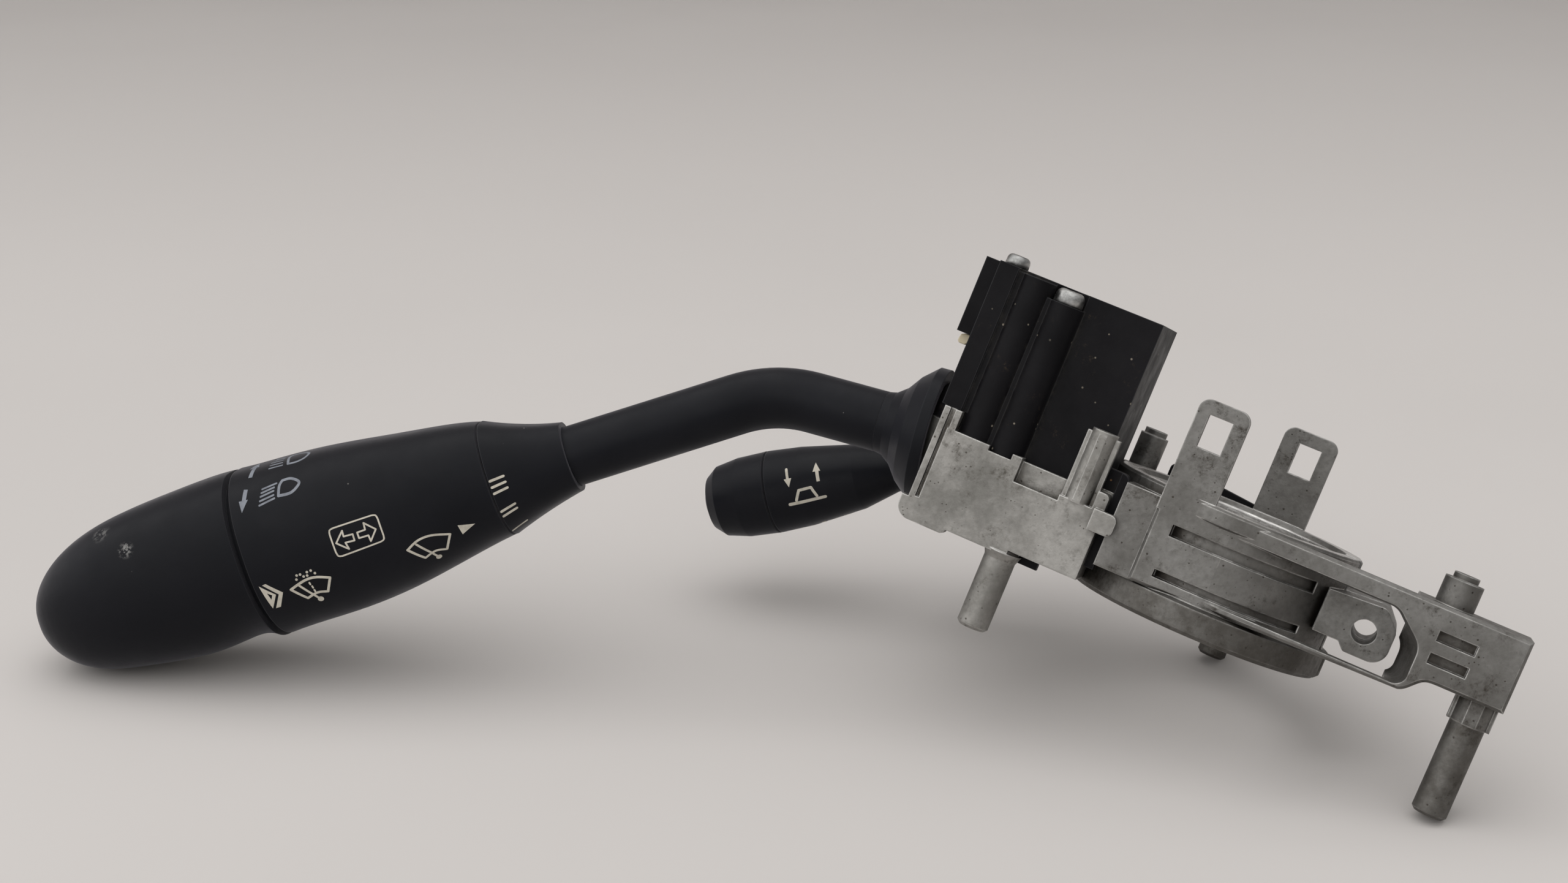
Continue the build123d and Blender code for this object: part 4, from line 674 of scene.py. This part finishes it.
def twist_marks():
    """Box with rounded corners and two double arrows in it."""
    corners = (((48.3, -85.3), (0, -4), (-1, 0)), ((38.3, -84.9), (1, 0), (0, -4)),
               ((38.3, -106.2), (0, 4), (1, 0)), ((48.3, -106.5), (-1, 0), (0, 4)))
    box = []
    for (s, angle), back, ahead in corners:
        pull = [CORNER_PULL * (back[i] + ahead[i]) for i in (0, 1)]
        box += curved([(s + back[0], angle + back[1]), (s + pull[0], angle + pull[1]),
                       (s + ahead[0], angle + ahead[1])], 3)
    symbol("mark_twist_box", "handle", HANDLE, line(HANDLE, box, BOX_W, True))
    symbol("mark_twist_arrows", "handle", HANDLE,
           line(HANDLE, [(47.62, -96.4), (45.71, -89.1), (45.8, -93.4), (43.95, -93.9), (44.01, -98.7),
                         (45.85, -98.1), (45.59, -103.3)], TWIST_W, True)
           + line(HANDLE, [(39.31, -95.9), (41.22, -88.5), (41.34, -93.7), (43.0, -93.8), (43.01, -98.2),
                           (41.08, -98.5), (41.01, -103.2)], TWIST_W, True))


def wiper_marks():
    symbol("mark_wiper_fan", "handle", HANDLE, spray(
        [(35.08, -120.1), (32.47, -115.9), (29.63, -116.2), (26.21, -121.7)],
        [(28.09, -134.2), (30.19, -130.8), (32.64, -133.0)],
        [(33.09, -118.4), (31.13, -130.5), (30.25, -138.2)]))
    symbol("mark_wiper_triangle", "handle", HANDLE,
           [arc(HANDLE, [(24.15, -117.0), (20.91, -121.9), (23.98, -126.9)])])


def collar_marks():
    """III, II and I, whose bars all end at the same distance along the collar."""
    bar_end, slant = 15.15, 1.2
    for name, angles, start in (("mark_three", (-86.8, -93.4, -100.0), 12.4),
                                ("mark_two", (-119.7, -125.4), 12.2), ("mark_one", (-151.2,), 11.9)):
        bars = []
        for angle in angles:
            bars += line(COLLAR, [(start, angle), (bar_end, angle - slant)], BAR_W)
        symbol(name, "lever", COLLAR, bars)


def lamp_marks():
    symbol("mark_low_lamp", "handle", HANDLE,
           lamp([(56.21, -53.0), (55.78, -46.2), (55.08, -42.6)],
                [(53.29, -42.8), (51.67, -47.1), (52.38, -50.9), (53.86, -53.4)],
                [((59.35, -44.9), (56.3, -43.5)), ((59.6, -47.5), (56.88, -46.1)),
                 ((59.87, -50.0), (57.07, -48.5)), ((60.14, -52.9), (57.18, -51.4)),
                 ((60.4, -55.7), (57.11, -53.8))]), paint=BLUE_PAINT)
    symbol("mark_arrow_down", "handle", HANDLE,
           shaft(HANDLE, (62.8, -41.5), (63.4, -49.4), ARROW_W)
           + [arc(HANDLE, [(64.45, -48.9), (62.55, -49.3), (64.16, -57.0)])], paint=BLUE_PAINT)
    symbol("mark_high_lamp", "handle", HANDLE,
           lamp([(54.07, -27.9), (54.43, -16.6), (54.02, -11.6)],
                [(52.37, -11.7), (50.25, -17.2), (50.54, -24.3), (52.11, -27.8)],
                [((58.12, -27.4), (55.3, -27.6)), ((58.04, -23.5), (55.49, -23.9)),
                 ((58.05, -19.1), (55.55, -19.5)), ((57.93, -14.2), (55.63, -14.8)),
                 ((57.8, -9.4), (55.5, -10.2))]), paint=BLUE_PAINT)
    symbol("mark_arrow_up", "handle", HANDLE,
           shaft(HANDLE, (61.99, -31.7), (61.66, -19.2), ARROW_W)
           + [arc(HANDLE, [(62.75, -19.3), (60.75, -19.3), (61.8, -6.0)])], paint=BLUE_PAINT)


def lever_marks():
    """Column-adjust marks on the small lever; the one below it, mark_reach, is partly guessed."""
    stem_w, shaft_w, column_w, floor_w, bar_w, reach_w = 0.58, 0.72, 0.6, 0.68, 0.75, 0.45
    symbol("mark_seat_arrows", "adjust_lever", LEVER,
           line(LEVER, [(48.27, -62.8), (48.17, -76.7)], stem_w)
           + [arc(LEVER, [(49.0, -77.3), (47.3, -76.8), (48.06, -89.4)])]
           + shaft(LEVER, (41.5, -88.0), (41.57, -71.8), shaft_w)
           + [arc(LEVER, [(42.5, -72.3), (40.8, -71.7), (41.69, -57.2)])])
    symbol("mark_seat_column", "adjust_lever", LEVER,
           line(LEVER, [(47.04, -109.8), (46.08, -96.1), (43.34, -94.9), (42.42, -109.4)], column_w)
           + line(LEVER, [(48.67, -114.0), (40.68, -113.4)], floor_w))
    symbol("mark_reach", "adjust_lever", LEVER,
           shaft(LEVER, (43.7, -171.5), (43.7, -198.0), bar_w)
           + shaft(LEVER, (42.6, -184.0), (38.4, -184.0), reach_w)
           + [arc(LEVER, [(39.0, -173.5), (37.2, -184.0), (39.0, -194.5)])]
           + shaft(LEVER, (44.8, -184.0), (49.0, -184.0), reach_w)
           + [arc(LEVER, [(48.4, -175.5), (50.2, -184.0), (48.4, -192.5)])])


wash_marks()
twist_marks()
wiper_marks()
collar_marks()
lamp_marks()
lever_marks()


# ---- connector latch ----

LATCH_OUTLINE = [(-59.1, 36.1), (-59.1, 34.75), (-61.3, 34.75), (-61.9, 33.95), (-63.2, 33.95), (-63.6, 34.4),
                 (-63.4, 35.7), (-62.6, 36.1)]
LIP_X, GROOVE, LATCH_BEVEL = -62.0, 0.22, 0.16
LATCH_CUTS = ((-9.0, 0.0), (-5.6, GROOVE), (-5.2, GROOVE), (-1.9, 0.0), (-1.5, 0.0), (1.5, GROOVE),
              (1.9, GROOVE), (5.2, 0.0), (5.6, 0.0), (9.0, 0.0))


def latch():
    """Cream latch under the connector: a beam whose thumb lip has two shallow grip grooves."""
    verts, faces = [], []
    count = len(LATCH_OUTLINE)
    for y, groove in LATCH_CUTS:
        verts += [place((x + (groove if x < LIP_X else 0.0), y, z)) for x, z in LATCH_OUTLINE]
    for i in range(len(LATCH_CUTS) - 1):
        for j in range(count):
            a, b = i * count + j, i * count + (j + 1) % count
            faces.append((a, b, b + count, a + count))
    faces += [tuple(reversed(range(count))), tuple(range(len(verts) - count, len(verts)))]
    made = mesh_object("connector_latch_detailed", verts, faces)
    rounding = made.modifiers.new("rounding", "BEVEL")
    rounding.width, rounding.segments = LATCH_BEVEL * MM, 2
    made.data.materials.append(CREAM)
    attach(made, "carrier")
    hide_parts("connector_latch")


latch()


# ---- screws with rounded heads, lobed sockets and threads, in mm ----

# Rounding of rims and length of the point are in mm; the other sizes are shares of a radius or a height
SCREW_SIDES, LOBES, LOBE = 48, 6, 0.13
RIM, POINT = 0.12, 0.4
SOCKET_FLOOR, HEAD_FLAT, HEAD_CURVE = 0.9, 0.62, ((0.06, 0.78), (0.22, 0.92), (0.45, 0.99))
PITCH, THREAD_ROOT, POINT_BACK, POINT_END = 0.45, 0.86, 0.8, 0.45
LONG_SCREW = dict(radius=1.5, head_r=2.95, head_h=2.9, socket_r=1.35, socket_deep=1.5)
ROOF_SCREW = dict(radius=1.2, head_r=2.4, head_h=2.2, socket_r=1.1, socket_deep=1.2)
BASE_SCREW = dict(radius=2.0, head_r=3.6, head_h=2.4, socket_r=1.7, socket_deep=1.5)
REAR_SCREW = dict(radius=1.25, head_r=2.3, head_h=1.9, socket_r=1.05, socket_deep=1.1)


def screw_rows(length, radius, head_r, head_h, socket_r, socket_deep):
    """(distance from under the head, radius, depth of the lobes) from the socket to the tip."""
    top = -head_h
    floor = top + socket_deep
    rows = [(floor, 0.0, 0.0), (floor, socket_r * SOCKET_FLOOR, LOBE), (top + RIM, socket_r, LOBE),
            (top, socket_r + RIM, LOBE), (top, head_r * HEAD_FLAT, 0.0)]
    rows += [(top + depth * head_h, head_r * width, 0.0) for depth, width in HEAD_CURVE]
    rows += [(-RIM, head_r, 0.0), (0.0, head_r - RIM, 0.0), (0.0, radius, 0.0)]
    pitch = PITCH * radius
    for turn in range(max(1, int((length - radius) / pitch))):
        rows += [(pitch * (turn + 0.25), radius * THREAD_ROOT, 0.0), (pitch * (turn + 0.75), radius, 0.0)]
    rows.append((length - POINT, radius * POINT_BACK, 0.0))
    return rows + [(length, radius * POINT_END, 0.0), (length, 0.0, 0.0)]


def screw_mesh(kind, start, axis, length, spin):
    """Pan-head screw: start is under its head and axis points to its tip."""
    side = axis.orthogonal().normalized()
    other = axis.cross(side)
    rows = screw_rows(length, **kind)
    verts, faces = [], []
    for along, radius, lobe in rows:
        for i in range(SCREW_SIDES):
            angle = 2 * pi * i / SCREW_SIDES
            reach = radius * (1.0 + lobe * cos(LOBES * (angle + spin)))
            verts.append(place(start + axis * along + side * reach * cos(angle) + other * reach * sin(angle)))
    for j in range(len(rows) - 1):
        for i in range(SCREW_SIDES):
            a, b = j * SCREW_SIDES + i, j * SCREW_SIDES + (i + 1) % SCREW_SIDES
            faces.append((a, b, b + SCREW_SIDES, a + SCREW_SIDES))
    return verts, faces


def screws(name, node, kind, items):
    """One piece of all screws in the node; items are (start, axis, length, spin in radians)."""
    verts, faces = [], []
    for start, axis, length, spin in items:
        v, f = screw_mesh(kind, Vector(start), axis, length, spin)
        faces += [tuple(i + len(verts) for i in face) for face in f]
        verts += v
    made = mesh_object(name, verts, faces, smooth=True)
    made.data.materials.append(ZINC)
    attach(made, "carrier")
    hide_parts(node)


RIGHT, FORWARD = Vector((1, 0, 0)), Vector((0, -1, 0))
screws("housing_screws_detailed", "housing_screws", LONG_SCREW,
       [((-44.2, -19.0, 48.7), DOWN, 39.4, 0.3)]
       + [((x, 15.6, 48.7), DOWN, 37.7, 0.9) for x in (-47.0, -34.8)])
screws("roof_screw_detailed", "roof_screw", ROOF_SCREW, [((-56.8, -16.0, 52.0), DOWN, 8.0, 0.1)])
screws("base_screws_detailed", "base_screws", BASE_SCREW,
       [((-27.5, y, 9.6), RIGHT, 9.9, 0.5) for y in (-13.8, 14.5)])
screws("rear_screws_detailed", "rear_screws", REAR_SCREW,
       [((-33.5, 25.2, z), FORWARD, 6.2, 0.2) for z in (6.0, 14.0)]
       + [((-40.0, y, 29.3), DOWN, 6.2, 0.7) for y in (26.2, 38.0)])
